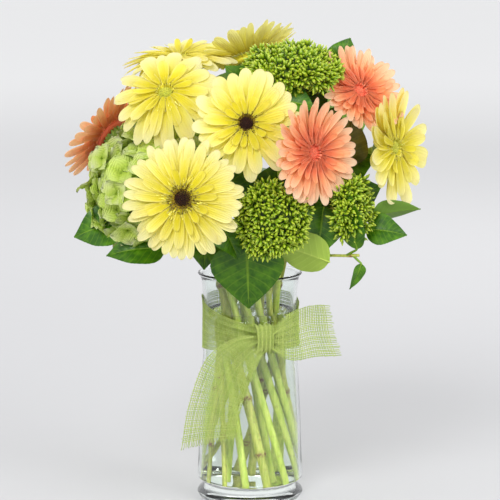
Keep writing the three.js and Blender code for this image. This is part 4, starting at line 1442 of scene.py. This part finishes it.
floor_mesh = bpy.data.meshes.new("floor")
reach = FLOOR_SIZE / 2
floor_corners = [(-reach, -reach, 0), (reach, -reach, 0), (reach, reach, 0), (-reach, reach, 0)]
floor_mesh.from_pydata(floor_corners, [], [(0, 1, 2, 3)])
floor = bpy.data.objects.new("floor", floor_mesh)
bpy.context.scene.collection.objects.link(floor)
paper = Finish("pale_paper_painted_shade")
length = paper.node("VectorMath", {"operation": "LENGTH"}, {0: paper.place()}, "Value")
# The floor's colour is darker near the bouquet and paler far out: painted shade round the vase's foot.
shade = paper.mix(length.between(0.2, 5), paint(188, 188, 190), paint(242, 242, 243))
paper_rough = 0.75 + 0.1 * paper.noise(20)
matt = paper.glossy({"Base Color": shade, "Roughness": paper_rough, "Specular IOR Level": 0.2})
floor_mesh.materials.append(paper.done(matt))

world = bpy.data.worlds.new("studio")
bpy.context.scene.world = world
world.use_nodes = True
world.node_tree.nodes["Background"].inputs["Color"].default_value = (0.96, 0.965, 0.97, 1)
world.node_tree.nodes["Background"].inputs["Strength"].default_value = 0.95


def soft_box(name, place, size, watts):
    light = bpy.data.lights.new(name, "AREA")
    light.shape = "SQUARE"
    light.size = size
    light.energy = watts
    lamp = bpy.data.objects.new(name, light)
    lamp.location = place
    lamp.rotation_euler = (AIM - Vector(place)).to_track_quat("-Z", "Y").to_euler()
    bpy.context.scene.collection.objects.link(lamp)


soft_box("key_box", (-0.7, -1.8, 1.7), 1.0, 36)
soft_box("side_box", (1.5, -1.2, 1.2), 1.0, 16)
soft_box("back_box", (0.3, 1.5, 1.6), 1.2, 12)

camera = bpy.data.objects.new("camera", bpy.data.cameras.new("camera"))
camera.data.lens = LENS
camera.data.sensor_width = SENSOR
camera.location = AIM + Vector((0, -math.cos(ELEVATION), math.sin(ELEVATION))) * DISTANCE
camera.rotation_euler = (AIM - camera.location).to_track_quat("-Z", "Y").to_euler()
camera.data.clip_end = FLOOR_SIZE
bpy.context.scene.collection.objects.link(camera)
bpy.context.scene.camera = camera
bpy.context.scene.view_settings.view_transform = "Standard"
bpy.context.scene.cycles.use_denoising = True
